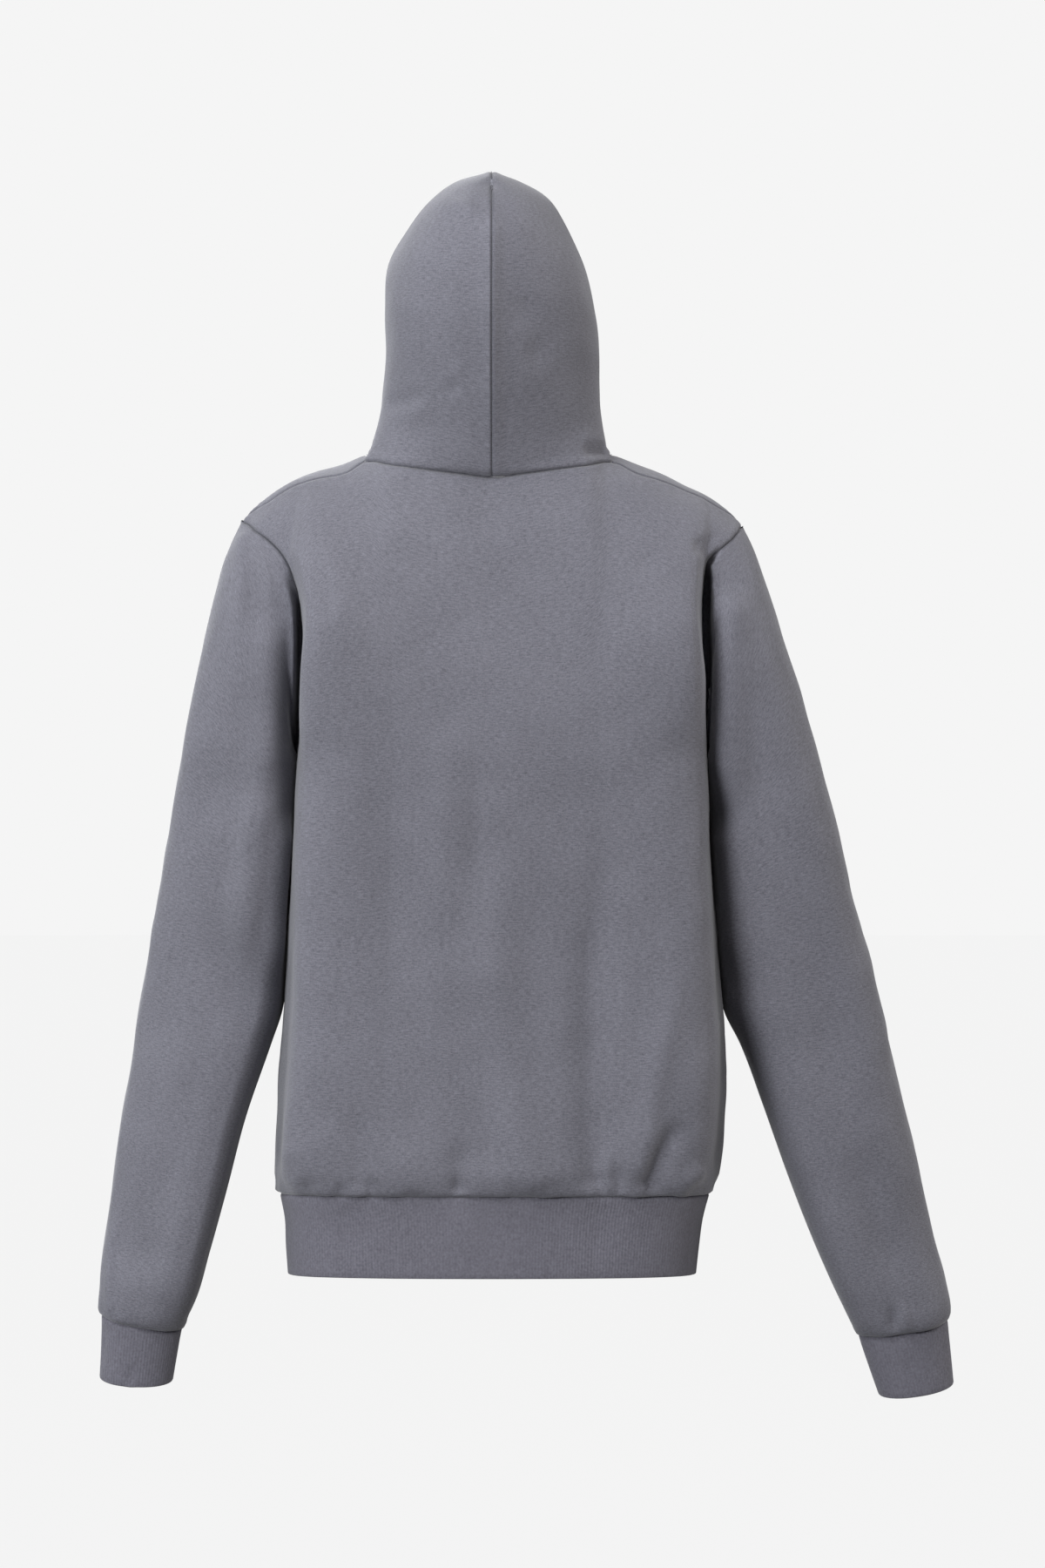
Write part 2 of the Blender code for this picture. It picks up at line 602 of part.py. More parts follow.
def build_slider(path, bottom, collection, helpers):
    """The slider with its two ears and the pin that carries the pull. Returns it and the pin's middle."""
    slider = strip("zip_slider", path, bottom, bottom + SLIDER_LENGTH, slider_outline(), METAL, collection)
    pin_at = bottom + SLIDER_LENGTH * PIN_SHARE
    ear_depths = (PIN_DEPTH - EAR_ABOVE_PIN, SLIDER_FRONT_DEPTHS[0] + EAR_ROOT)
    for side in (-1, 1):
        ends = sorted((side * EAR_X[0], side * EAR_X[1]))
        start, end = pin_at - EAR_LENGTH / 2, pin_at + EAR_LENGTH / 2
        ear = strip(f"ear_{side}", path, start, end, rectangle(*ends, ear_depths), METAL, helpers)
        combine(slider, ear, "UNION")
    middle = path.point(0, pin_at, PIN_DEPTH)
    pin = cross_cylinder("pin", PIN_RADIUS, (EAR_X[0] + EAR_X[1]) / 2, middle, helpers)
    combine(slider, pin, "UNION")
    return middle, path.at(pin_at)


def pull_outline():
    """The flat tab below the eye, as (x, distance down from the pin)."""
    neck, wide, end = PULL_EYE_HALF_WIDTH, PULL_HALF_WIDTH, PULL_LENGTH
    half = [(neck, PULL_NECK[0]), (neck, PULL_NECK[1]), (wide, PULL_WIDE_FROM), (wide, end - wide)]
    outline = [(-x, down) for x, down in half]
    for i in range(1, 8):
        angle = math.pi * i / 8
        outline.append((-wide * math.cos(angle), end - wide + wide * math.sin(angle)))
    return outline + half[::-1]


def build_pull(middle, frame, collection, helpers):
    _, up, out = frame
    outline = pull_outline()
    points = []
    for side in (1, -1):
        for x, down in outline:
            y, z = np.array(middle[1:]) - up * down + out * side * PULL_THICKNESS / 2
            points.append((x, y - middle[1], z - middle[2]))
    n = len(outline)
    faces = [list(range(n)), list(range(n, 2 * n))[::-1]]
    faces += [[i, (i + 1) % n, n + (i + 1) % n, n + i] for i in range(n)]
    pull = add_object("zip_pull", points, faces, METAL, collection)
    pull.location = middle
    eye = cross_cylinder("eye", PULL_EYE_RADIUS, PULL_EYE_HALF_WIDTH, middle, helpers)
    combine(pull, eye, "UNION")
    hole = cross_cylinder("eye_hole", PULL_EYE_HOLE, PULL_EYE_HALF_WIDTH * 2, middle, helpers)
    combine(pull, hole, "DIFFERENCE")
    y, z = np.array(middle[1:]) - up * (PULL_LENGTH - PULL_HALF_WIDTH)
    end_hole = cross_cylinder("end_hole", PULL_HOLE_RADIUS, PULL_THICKNESS * 2, (0, y, z), helpers)
    end_hole.rotation_euler = (math.atan2(-out[0], out[1]), 0, 0)
    combine(pull, end_hole, "DIFFERENCE")


def build_zip(path, collection, helpers):
    top = path.length - ZIP_TOP_DROP
    slider_top = top - STOP_LENGTH - SEAM_GAP
    slider_bottom = slider_top - SLIDER_LENGTH
    for side, word in ((1, "left"), (-1, "right")):
        tape = sorted((side * (CHAIN_HALF_WIDTH + SEAM_GAP), side * TAPE_OUTER_X))
        strip(f"zip_tape_{word}", path, 0, top, rectangle(*tape, TAPE_DEPTHS), TAPE, collection)
        stop = sorted((side * SEAM_GAP / 2, side * CHAIN_HALF_WIDTH))
        stop_start = slider_top + SEAM_GAP
        strip(f"zip_stop_{word}", path, stop_start, top, rectangle(*stop, CHAIN_DEPTHS), METAL, collection)
    chain = rectangle(-CHAIN_HALF_WIDTH, CHAIN_HALF_WIDTH, CHAIN_DEPTHS)
    chain_start = BOX_LENGTH + SEAM_GAP
    strip("zip_chain", path, chain_start, slider_bottom - SEAM_GAP, chain, METAL, collection)
    box = [(-BOX_HALF_WIDTH, BOX_DEPTHS[0]), (BOX_HALF_WIDTH, BOX_DEPTHS[0])]
    box += [(BOX_HALF_WIDTH, BOX_DEPTHS[1]), (CHAIN_HALF_WIDTH, BOX_DEPTHS[1])]
    box += [(CHAIN_HALF_WIDTH, CHAIN_DEPTHS[1]), (-CHAIN_HALF_WIDTH, CHAIN_DEPTHS[1])]
    box += [(-CHAIN_HALF_WIDTH, BOX_DEPTHS[1]), (-BOX_HALF_WIDTH, BOX_DEPTHS[1])]
    strip("zip_box", path, 0, BOX_LENGTH, box, METAL, collection)
    middle, frame = build_slider(path, slider_bottom, collection, helpers)
    build_pull(middle, frame, collection, helpers)


# ---------------------------------------------------------------- the hoodie
def build_cloth():
    back = back_panel()
    fronts = {side: body_half(side, True) for side in (1, -1)}
    levels = len(BODY_LEVELS)
    cloths = [Cloth("back", back, 1, sewn=("first_row", "last_row", "first_column", "last_column"))]
    mitres = {}
    names = {1: "left", -1: "right"}
    middle = HALF_COLUMNS
    for side in (1, -1):
        word = names[side]
        front = Cloth(f"front_{word}", fronts[side], side, sewn=("first_row", "last_row", "last_column"))
        cloths.append(front)
        side_column = 0 if side > 0 else -1
        hole = armhole_ring(back[levels:, side_column], fronts[side][levels:, -1])
        out = armhole_ring(cloths[0].normal[levels:, side_column], front.normal[levels:, -1])
        rim = armhole_mitres(hole, out)
        mitres.update(zip(map(place, hole), rim))
        arm_table, cuff_table = (LEFT_SLEEVE, LEFT_CUFF) if side > 0 else (RIGHT_SLEEVE, RIGHT_CUFF)
        arm = sleeve(arm_table, side, hole, rim)
        cloths.append(Cloth(f"sleeve_{word}", arm, side, True, ("first_row", "last_row")))
        ends = cuff(cuff_table, side, len(hole))
        cloths.append(Cloth(f"cuff_{word}", ends, side, True, ("first_row",), RIB))
        front_neck = fronts[side][-1, : NECK_COLUMN + 1]
        back_neck = back[-1, middle - side * NECK_COLUMN : middle : side]
        neck = np.concatenate([front_neck, back_neck[1:], back[-1, middle : middle + 1]])
        neck[-1, 0] = 0
        hood = Cloth(
            f"hood_{word}", hood_half(side, neck), side, sewn=("first_row", "last_row", "last_column")
        )
        hood.normal[-1, -1] = unit(hood.normal[-1, -2] + hood.normal[-2, -1])  # the crown is a straight corner
        cloths.append(hood)
    band = np.array([band_ring(z) for z in BAND_LEVELS])
    cloths.append(Cloth("waistband", band, 1, sewn=("last_row",), finish=RIB))
    share_normals(cloths, mitres)
    return cloths, fronts[1], band


def main():
    for old in list(bpy.data.objects):
        bpy.data.objects.remove(old, do_unlink=True)
    collection = bpy.data.collections.new("zip_up_hoodie")
    helpers = bpy.data.collections.new("cutters")
    for made in (collection, helpers):
        bpy.context.scene.collection.children.link(made)
    cloths, front, band = build_cloth()
    for cloth in cloths:
        add_object(cloth.name, *cloth.mesh(), cloth.finish, collection)
    line = np.concatenate([band[:-1, 0, 1:], front[:, 0, 1:]])
    build_zip(ZipPath(line), collection, helpers)


main()
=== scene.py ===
# A zip-up hoodie in its worn, hollow form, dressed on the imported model.
# Metres, +Z up, the zip faces -Y and the wearer's left is +X.
import json
import math

import bmesh
import bpy
import numpy as np
from mathutils.bvhtree import BVHTree
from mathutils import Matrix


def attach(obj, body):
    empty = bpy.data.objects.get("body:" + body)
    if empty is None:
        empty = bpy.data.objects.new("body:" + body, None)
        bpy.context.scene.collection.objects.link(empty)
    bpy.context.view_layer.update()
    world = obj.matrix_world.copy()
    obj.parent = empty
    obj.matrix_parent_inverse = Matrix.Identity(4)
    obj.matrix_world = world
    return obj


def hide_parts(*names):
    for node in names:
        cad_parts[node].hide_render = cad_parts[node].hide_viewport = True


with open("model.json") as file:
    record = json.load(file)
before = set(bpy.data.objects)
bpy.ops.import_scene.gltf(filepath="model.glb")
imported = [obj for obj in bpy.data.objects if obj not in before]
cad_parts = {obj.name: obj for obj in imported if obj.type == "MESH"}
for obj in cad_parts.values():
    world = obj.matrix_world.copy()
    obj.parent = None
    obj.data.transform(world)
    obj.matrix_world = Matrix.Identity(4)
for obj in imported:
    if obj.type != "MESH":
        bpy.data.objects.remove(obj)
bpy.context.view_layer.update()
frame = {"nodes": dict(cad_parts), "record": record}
print("frame loaded:", len(frame["nodes"]), "nodes")

mm = 0.001


# small helpers for tables and curves
def table(names, *rows):
    return dict(zip(names.split(), np.array(rows, float).T))


def read(columns, name, at):
    # a table's column at a key, on smooth curves through its rows
    keys = next(iter(columns.values()))
    values = columns[name]
    slopes = np.gradient(values, keys)
    i = int(np.clip(np.searchsorted(keys, at) - 1, 0, len(keys) - 2))
    step = keys[i + 1] - keys[i]
    t = (at - keys[i]) / step
    near = (1 + 2 * t) * (1 - t) ** 2 * values[i] + t * (1 - t) ** 2 * step * slopes[i]
    far = t * t * (3 - 2 * t) * values[i + 1] - t * t * (1 - t) * step * slopes[i + 1]
    return near + far


def unit(vectors):
    return vectors / np.maximum(np.linalg.norm(vectors, axis=-1, keepdims=True), 1e-12)


def smooth(t):
    t = np.clip(t, 0.0, 1.0)
    return t * t * (3 - 2 * t)


def rampTo(values, start, full):
    # 0 at the start, rising softly to 1
    return smooth((values - start) / (full - start))


def runAlong(line):
    # how far along itself every point of a line is
    return np.concatenate([[0], np.cumsum(np.linalg.norm(np.diff(line, axis=0), axis=1))])


def valuesAt(stops, lengths, values):
    # points or directions at every stop, read off a line of them
    return np.stack([np.interp(stops, lengths, values[:, k]) for k in range(3)], axis=-1)


def oval(angle, roundness):
    cos, sin = math.cos(angle), math.sin(angle)
    power = 2 / roundness
    return math.copysign(abs(cos) ** power, cos), math.copysign(abs(sin) ** power, sin)


# the body: sizes, rings below the underarm, and the edges of the panels
bodySizes = {
    "chestZ": -0.247,  # height of the underarm points
    "atChest": 0.004,  # the armholes begin this far below them
    "roundness": 2.4,  # exponent of the body's oval rings
    "frontOpening": 0.007,  # from the middle of the zip to the edge of the cloth
    "neckReachedRise": 0.6,
    "flatSideRise": 0.625,
    "armwardPower": 1.3,
    "columns": 12,  # from the middle to the side seam
    "neckColumn": 4,
}
levels = (-0.6086, -0.605, -0.597, -0.575, -0.540, -0.490, -0.440, -0.390, -0.340, -0.295, -0.265)
rises = (0, 0.08, 0.18, 0.30, 0.42, 0.54, 0.66, 0.77, 0.87, 0.94, 1)
shares = [math.sin(math.pi / 2 * k / bodySizes["columns"]) for k in range(bodySizes["columns"] + 1)]
bodyTable = table(
    "z left right back front",
    (-0.6086, 0.1752, 0.1798, 0.1040, 0.1060),
    (-0.6030, 0.1763, 0.1828, 0.1085, 0.1065),
    (-0.5870, 0.1780, 0.1872, 0.1125, 0.1080),
    (-0.5440, 0.1768, 0.1915, 0.1130, 0.1095),
    (-0.4720, 0.1740, 0.1925, 0.1105, 0.1105),
    (-0.4150, 0.1700, 0.1872, 0.1095, 0.1115),
    (-0.3560, 0.1675, 0.1828, 0.1110, 0.1145),
    (-0.3000, 0.1630, 0.1800, 0.1145, 0.1185),
    (-0.2470, 0.1606, 0.1775, 0.1175, 0.1220),
)
backTop = table(  # neckline up to share 0.5, then the shoulder seam
    "share x y leftZ rightZ",
    (0.000, 0.0000, 0.0640, -0.0189, -0.0189),
    (0.131, 0.0270, 0.0630, -0.0158, -0.0158),
    (0.259, 0.0540, 0.0580, -0.0120, -0.0120),
    (0.383, 0.0800, 0.0470, -0.0080, -0.0085),
    (0.500, 0.1010, 0.0190, -0.0050, -0.0055),
    (0.609, 0.1240, 0.0140, -0.0115, -0.0120),
    (0.707, 0.1440, 0.0110, -0.0158, -0.0185),
    (0.793, 0.1620, 0.0090, -0.0222, -0.0262),
    (0.866, 0.1770, 0.0080, -0.0300, -0.0325),
    (0.924, 0.1890, 0.0070, -0.0378, -0.0395),
    (0.966, 0.1980, 0.0065, -0.0450, -0.0472),
    (1.000, 0.2070, 0.0060, -0.0540, -0.0575),
)
frontNeck = table(
    "share x y z",
    (0.000, 0.0070, -0.0900, -0.0780),
    (0.131, 0.0500, -0.0820, -0.0520),
    (0.259, 0.0840, -0.0560, -0.0200),
    (0.383, 0.0990, -0.0180, 0.0020),
    (0.500, 0.1010, 0.0190, -0.0050),
)
neckStretch = {1: 1.05, -1: 0.99}  # the neck is a little wider on the left
armhole = table(
    "rise reach back front",
    (0.00, 0.00, 0.000, 0.000),
    (0.08, -0.05, 0.022, -0.024),
    (0.18, -0.10, 0.043, -0.044),
    (0.30, -0.14, 0.058, -0.059),
    (0.42, -0.15, 0.064, -0.066),
    (0.54, -0.12, 0.063, -0.066),
    (0.66, 0.02, 0.057, -0.058),
    (0.77, 0.28, 0.047, -0.042),
    (0.87, 0.60, 0.033, -0.024),
    (0.94, 0.82, 0.020, -0.009),
    (1.00, 1.00, 0.006, 0.006),
)
ridgeY = table("share y", (0.0, -0.005), (0.5, -0.008), (1.0, -0.012))  # where the shoulder is highest


def hollowness(share, power):
    return max(0.0, 1 - share ** bodySizes["roundness"]) ** (1 / power)


def ringX(share, halfWidth, opened):
    neckShare = shares[bodySizes["neckColumn"]]
    if opened and share < neckShare:
        start = bodySizes["frontOpening"]
        return start + (neckShare * halfWidth - start) * share / neckShare
    return share * halfWidth


def ringPoint(columns, z, share, side, front):
    x = ringX(share, read(columns, "left" if side > 0 else "right", z), front)
    y = read(columns, "front" if front else "back", z) * hollowness(share, bodySizes["roundness"])
    return side * x, -y if front else y, z


def topPoint(share, side, front):
    neckShare = shares[bodySizes["neckColumn"]]
    stretch = 1 + (neckStretch[side] - 1) * max(0.0, 1 - abs(share / neckShare - 1))
    if front and share < neckShare - 1e-6:
        x, y, z = (read(frontNeck, name, share) for name in "xyz")
        return x * stretch, y, z
    z = read(backTop, "leftZ" if side > 0 else "rightZ", share)
    return read(backTop, "x", share) * stretch, read(backTop, "y", share), z


def upperPoint(share, rise, side, front):
    # above the underarm each column is an arc from the chest over to its upper end
    chestZ, roundness = bodySizes["chestZ"], bodySizes["roundness"]
    half = "front" if front else "back"
    chestDepth = read(bodyTable, half, chestZ) * (-1 if front else 1)
    sideX = read(bodyTable, "left" if side > 0 else "right", chestZ)

    def arc(atShare):
        topX, topY, topZ = topPoint(atShare, side, front)
        ridge = read(ridgeY, "y", atShare)
        sweep = math.acos((topY - ridge) / (chestDepth - ridge))
        height = (topZ - chestZ) / math.sin(sweep)
        y = ridge + (chestDepth - ridge) * math.cos(sweep * rise)
        return topX, y, chestZ + height * math.sin(sweep * rise)

    topX, y, z = arc(share)
    power = roundness + (1 - roundness) * min(1.0, rise / bodySizes["flatSideRise"])
    y -= (arc(1.0)[1] - read(armhole, half, rise)) * (1 - hollowness(share, power))
    chestX = ringX(share, sideX, front)
    early = float(smooth(rise / bodySizes["neckReachedRise"]))
    armward = max(0.0, 2 * share - 1) ** bodySizes["armwardPower"]
    x = chestX + (topX - chestX) * (early + (read(armhole, "reach", rise) - early) * armward)
    if front and share < 1e-6:
        x = bodySizes["frontOpening"]
    return side * x, y, z


def bodyHalf(side, front):
    rows = [[ringPoint(bodyTable, z, share, side, front) for share in shares] for z in levels]
    rows += [[upperPoint(share, rise, side, front) for share in shares] for rise in rises]
    return np.array(rows)


# sleeves, cuffs, hood and band
sleeveSizes = {
    "roundness": 2.2,  # of the rings at the armhole and the cuff
    "flatRoundness": 2.95,  # and between them, where the empty sleeve hangs flatter
    "formSteps": (1, 4, 11, 14),  # from one to the other and back between these rings
    "turned": {1: 0.55, -1: 0.12},  # how far the inner side stands further back, per width
    "shelf": 0.0050,  # under the arm the sleeve leaves its seam square to the armhole for this far
    "capShare": 0.12,  # and over the shoulder it heads straight for its first ring
    "mitreOut": 0.6,
}
ringNames = "step inX inY inZ outX outY outZ halfDepth pitch"
leftSleeve = table(
    ringNames,
    (1, 0.1618, -0.010, -0.2530, 0.2158, 0.000, -0.0740, 0.0685, 0.00),
    (2, 0.1615, -0.020, -0.2640, 0.2275, 0.000, -0.1100, 0.0735, 0.00),
    (3, 0.1612, -0.029, -0.2860, 0.2420, -0.001, -0.1760, 0.0760, 0.00),
    (4, 0.1634, -0.034, -0.3200, 0.2590, -0.005, -0.2600, 0.0745, 0.02),
    (5, 0.1673, -0.036, -0.3700, 0.2740, -0.010, -0.3450, 0.0700, 0.04),
    (6, 0.1700, -0.037, -0.4250, 0.2855, -0.016, -0.4150, 0.0645, 0.06),
    (7, 0.1736, -0.037, -0.4560, 0.2904, -0.018, -0.4460, 0.0620, 0.07),
    (8, 0.1830, -0.036, -0.4840, 0.2945, -0.020, -0.4720, 0.0600, 0.08),
    (9, 0.2050, -0.034, -0.5480, 0.3045, -0.024, -0.5350, 0.0560, 0.10),
    (10, 0.2202, -0.034, -0.6060, 0.3137, -0.026, -0.5930, 0.0520, 0.13),
    (11, 0.2336, -0.034, -0.6540, 0.3205, -0.028, -0.6420, 0.0475, 0.16),
    (12, 0.2460, -0.034, -0.6960, 0.3250, -0.029, -0.6840, 0.0415, 0.19),
    (13, 0.2552, -0.034, -0.7150, 0.3255, -0.030, -0.7040, 0.0355, 0.20),
    (14, 0.2570, -0.034, -0.7200, 0.3240, -0.030, -0.7095, 0.0312, 0.20),
)
rightSleeve = table(
    ringNames,
    (1, 0.1790, -0.010, -0.2530, 0.2155, 0.000, -0.0760, 0.0685, 0.00),
    (2, 0.1788, -0.020, -0.2640, 0.2275, 0.000, -0.1100, 0.0735, 0.00),
    (3, 0.1786, -0.029, -0.2860, 0.2480, -0.001, -0.1760, 0.0760, 0.00),
    (4, 0.1803, -0.034, -0.3200, 0.2725, -0.005, -0.2600, 0.0745, 0.02),
    (5, 0.1830, -0.037, -0.3700, 0.2950, -0.010, -0.3450, 0.0700, 0.04),
    (6, 0.1870, -0.039, -0.4250, 0.3125, -0.016, -0.4150, 0.0645, 0.06),
    (7, 0.1919, -0.039, -0.4570, 0.3200, -0.018, -0.4460, 0.0620, 0.07),
    (8, 0.2052, -0.038, -0.4840, 0.3265, -0.020, -0.4720, 0.0600, 0.08),
    (9, 0.2243, -0.035, -0.5350, 0.3382, -0.023, -0.5220, 0.0568, 0.10),
    (10, 0.2439, -0.034, -0.5900, 0.3512, -0.025, -0.5770, 0.0531, 0.12),
    (11, 0.2692, -0.034, -0.6540, 0.3660, -0.028, -0.6420, 0.0475, 0.16),
    (12, 0.2890, -0.034, -0.6980, 0.3760, -0.029, -0.6840, 0.0415, 0.19),
    (13, 0.3000, -0.034, -0.7200, 0.3788, -0.030, -0.7080, 0.0355, 0.20),
    (14, 0.3038, -0.034, -0.7262, 0.3778, -0.030, -0.7140, 0.0312, 0.20),
)
leftCuff = table(
    ringNames,
    (0, 0.2570, -0.034, -0.7200, 0.3240, -0.030, -0.7095, 0.0312, 0.20),
    (1, 0.2595, -0.034, -0.7320, 0.3245, -0.031, -0.7240, 0.0308, 0.20),
    (2, 0.2650, -0.036, -0.7640, 0.3260, -0.034, -0.7615, 0.0305, 0.20),
)
rightCuff = table(
    ringNames,
    (0, 0.3038, -0.034, -0.7262, 0.3778, -0.030, -0.7140, 0.0312, 0.20),
    (1, 0.3080, -0.034, -0.7400, 0.3790, -0.031, -0.7290, 0.0308, 0.20),
    (2, 0.3205, -0.036, -0.7755, 0.3833, -0.034, -0.7660, 0.0305, 0.20),
)
hoodSizes = {
    "roundness": 2.15,
    "faceAngle": math.radians(150),  # from the centre back seam round to the face edge
    "neckEaseRows": 5,
    "widest": 0.48,
}
hoodTable = table(
    "row backY backZ faceX faceY faceZ left right sideRise",
    (0, 0.0640, -0.0189, 0.0070, -0.0900, -0.0780, 0.1035, 0.1035, 0.0550),
    (1, 0.0690, -0.0080, 0.0160, -0.0960, -0.0640, 0.1000, 0.0985, 0.0490),
    (2, 0.0730, 0.0050, 0.0290, -0.1010, -0.0470, 0.0970, 0.0955, 0.0430),
    (3, 0.0810, 0.0280, 0.0470, -0.1070, -0.0170, 0.0930, 0.0920, 0.0340),
    (4, 0.0905, 0.0570, 0.0610, -0.1120, 0.0180, 0.0915, 0.0907, 0.0250),
    (5, 0.1000, 0.0920, 0.0695, -0.1150, 0.0580, 0.0900, 0.0907, 0.0150),
    (6, 0.1060, 0.1290, 0.0710, -0.1160, 0.1030, 0.0905, 0.0880, 0.0080),
    (7, 0.1045, 0.1610, 0.0665, -0.1150, 0.1470, 0.0865, 0.0780, 0.0050),
    (8, 0.0950, 0.1870, 0.0560, -0.1120, 0.1810, 0.0705, 0.0630, 0.0055),
    (9, 0.0800, 0.2060, 0.0400, -0.1090, 0.2030, 0.0505, 0.0470, 0.0080),
    (10, 0.0630, 0.2170, 0.0200, -0.1070, 0.2150, 0.0305, 0.0255, 0.0105),
    (11, 0.0480, 0.2230, 0.0000, -0.1050, 0.2190, 0.0000, 0.0000, 0.0140),
)
bandTable = table(
    "z left right back front",
    (-0.6740, 0.1688, 0.1690, 0.1010, 0.1045),
    (-0.6520, 0.1700, 0.1712, 0.1020, 0.1052),
    (-0.6300, 0.1708, 0.1742, 0.1025, 0.1058),
    (-0.6086, 0.1752, 0.1798, 0.1040, 0.1060),
)
bandLevels = (-0.6740, -0.652, -0.630, -0.6086)


def tubeRing(columns, step, side, count, flat=0.0):
    inner, outer = (
        np.array([read(columns, end + axis, step) for axis in "XYZ"]) * (side, 1, 1) for end in ("in", "out")
    )
    roundness = sleeveSizes["roundness"] + flat * (sleeveSizes["flatRoundness"] - sleeveSizes["roundness"])
    turned = flat * sleeveSizes["turned"][side] * abs(outer[0] - inner[0]) / 2
    ring = []
    for i in range(count):
        across, along = oval(2 * math.pi * i / count, roundness)
        y = read(columns, "halfDepth", step) * along + turned * across * max(0.0, along)
        lean = np.array((0, y, -read(columns, "pitch", step) * y))
        ring.append((inner + outer) / 2 + (inner - outer) / 2 * across + lean)
    return np.array(ring)


def armholeShelf(ring, mitres, firstRing, side):
    along = np.roll(ring, -1, axis=0) - np.roll(ring, 1, axis=0)
    outward = unit(np.cross(mitres, along))
    outward *= np.sign(outward[:, :1] * side)
    turn = 2 * np.pi * np.arange(len(ring)) / len(ring)
    low = ((1 + np.cos(turn)) / 2)[:, None]
    square = outward * sleeveSizes["shelf"] * low
    return ring + square + (firstRing - ring) * sleeveSizes["capShare"] * (1 - low)


def hoodRow(row, side, count):
    wide = read(hoodTable, "left" if side > 0 else "right", row)
    backY, backZ, faceX, faceY, faceZ, rise = (
        read(hoodTable, name, row) for name in ("backY", "backZ", "faceX", "faceY", "faceZ", "sideRise")
    )
    middleY = backY + (faceY - backY) * hoodSizes["widest"]
    quarter = math.pi / 2
    points = []
    for i in range(count):
        t = i / (count - 1)
        angle = (1 - t) * hoodSizes["faceAngle"]
        if angle <= quarter:
            cos, sin = oval(angle, hoodSizes["roundness"])
            x, y = wide * sin, middleY + (backY - middleY) * cos
        else:
            q = (angle - quarter) / (hoodSizes["faceAngle"] - quarter)
            x, y = wide - (wide - faceX) * q * q, middleY + (faceY - middleY) * q
        points.append((side * max(x, 0.0), y, faceZ + (backZ - faceZ) * t + rise * math.sin(math.pi * t)))
    return points


def hoodHalf(side, neck):
    rows = [np.array(hoodRow(row, side, len(neck))) for row in hoodTable["row"]]
    misfit = neck - rows[0]
    ease = hoodSizes["neckEaseRows"]
    return np.array([row + misfit * max(0.0, 1 - k / ease) ** 2 for k, row in enumerate(rows)])


def bandRing(z):
    ring = [ringPoint(bandTable, z, share, 1, True) for share in shares]
    ring += [ringPoint(bandTable, z, share, 1, False) for share in shares[-2::-1]]
    ring += [ringPoint(bandTable, z, share, -1, False) for share in shares[1:]]
    return ring + [ringPoint(bandTable, z, share, -1, True) for share in shares[-2::-1]]


# fine grids
def splineAlong(grid, cuts, closed=False):
    # a smooth curve through each line of points along axis 0, with so many steps in each of its stretches
    wrapped = np.concatenate([grid[-2:], grid, grid[:3]]) if closed else grid
    lengths = np.maximum(np.linalg.norm(np.diff(wrapped, axis=0), axis=-1), 1e-7)
    knots = np.concatenate([np.zeros((1,) + lengths.shape[1:]), np.cumsum(lengths, axis=0)])[..., None]
    chords = np.diff(wrapped, axis=0) / np.diff(knots, axis=0)
    before, after = np.diff(knots, axis=0)[:-1], np.diff(knots, axis=0)[1:]
    inside = (chords[:-1] * after + chords[1:] * before) / (before + after)
    slopes = np.concatenate([chords[:1], inside, chords[-1:]])
    out = []
    for k, count in enumerate(cuts, 2 if closed else 0):
        span = knots[k + 1] - knots[k]
        for t in np.arange(count) / count:
            out.append(
                (1 + 2 * t) * (1 - t) ** 2 * wrapped[k]
                + t * (1 - t) ** 2 * span * slopes[k]
                + t * t * (3 - 2 * t) * wrapped[k + 1]
                - t * t * (1 - t) * span * slopes[k + 1]
            )
    if not closed:
        out.append(wrapped[-1])
    return np.array(out)


def fineGrid(coarse, rowCuts, columnCuts, closed=False):
    across = splineAlong(coarse.swapaxes(0, 1), columnCuts, closed)
    return splineAlong(across.swapaxes(0, 1), rowCuts)


def linesFrom(grid, edge):
    # a view of the grid as lines of points, the first of them on this edge
    lines = grid if edge.endswith("Row") else grid.swapaxes(0, 1)
    return lines[::-1] if edge.startswith("last") else lines


def sewTo(grid, edge, target, reach=14):
    # moves an edge onto its neighbour's and eases the move out over the next lines of points
    lines = linesFrom(grid, edge)
    misfit = target - lines[0]
    for k in range(min(reach, len(lines))):
        lines[k] += misfit * (1 - k / reach) ** 2


def outwardOf(grid, outward, closed=False):
    up = np.gradient(grid, axis=0)
    if closed:
        across = np.roll(grid, -1, axis=1) - np.roll(grid, 1, axis=1)
    else:
        across = np.gradient(grid, axis=1)
    return unit(np.cross(across, up)) * outward


def stepsFor(lengths, spacing):
    return [max(1, round(length / spacing)) for length in lengths]


spacing = {
    "rows": 4.2 * mm,
    "columns": 8,  # steps between two columns of the coarse grids
    "atArmhole": [4, 24, 10],  # steps in a sleeve's first three stretches
    "hoodRows": 8,
    "ribRows": [5, 5, 5],
    "archLength": 0.29,  # of a column from the underarm's height over the shoulder
}
bodyRowCuts = stepsFor(np.diff(levels + (bodySizes["chestZ"],)), spacing["rows"])
riseCuts = stepsFor(np.diff(rises) * spacing["archLength"], spacing["rows"])
bodyRowCuts += riseCuts
columnCuts = [spacing["columns"]] * bodySizes["columns"]
chestRow = sum(bodyRowCuts[: len(levels)])
neckEnd = spacing["columns"] * bodySizes["neckColumn"]

evening = {
    "rounds": 400,
    "settled": 100,  # rounds from one return to the surface to the next
    "rowsIn": 12,  # lines over which it sets in above the chest, and ends below the shoulder
    "rowsOut": 24,
    "columns": (4, 18),  # none at the zip, full from here
    "columnsOut": (64, 38),
}


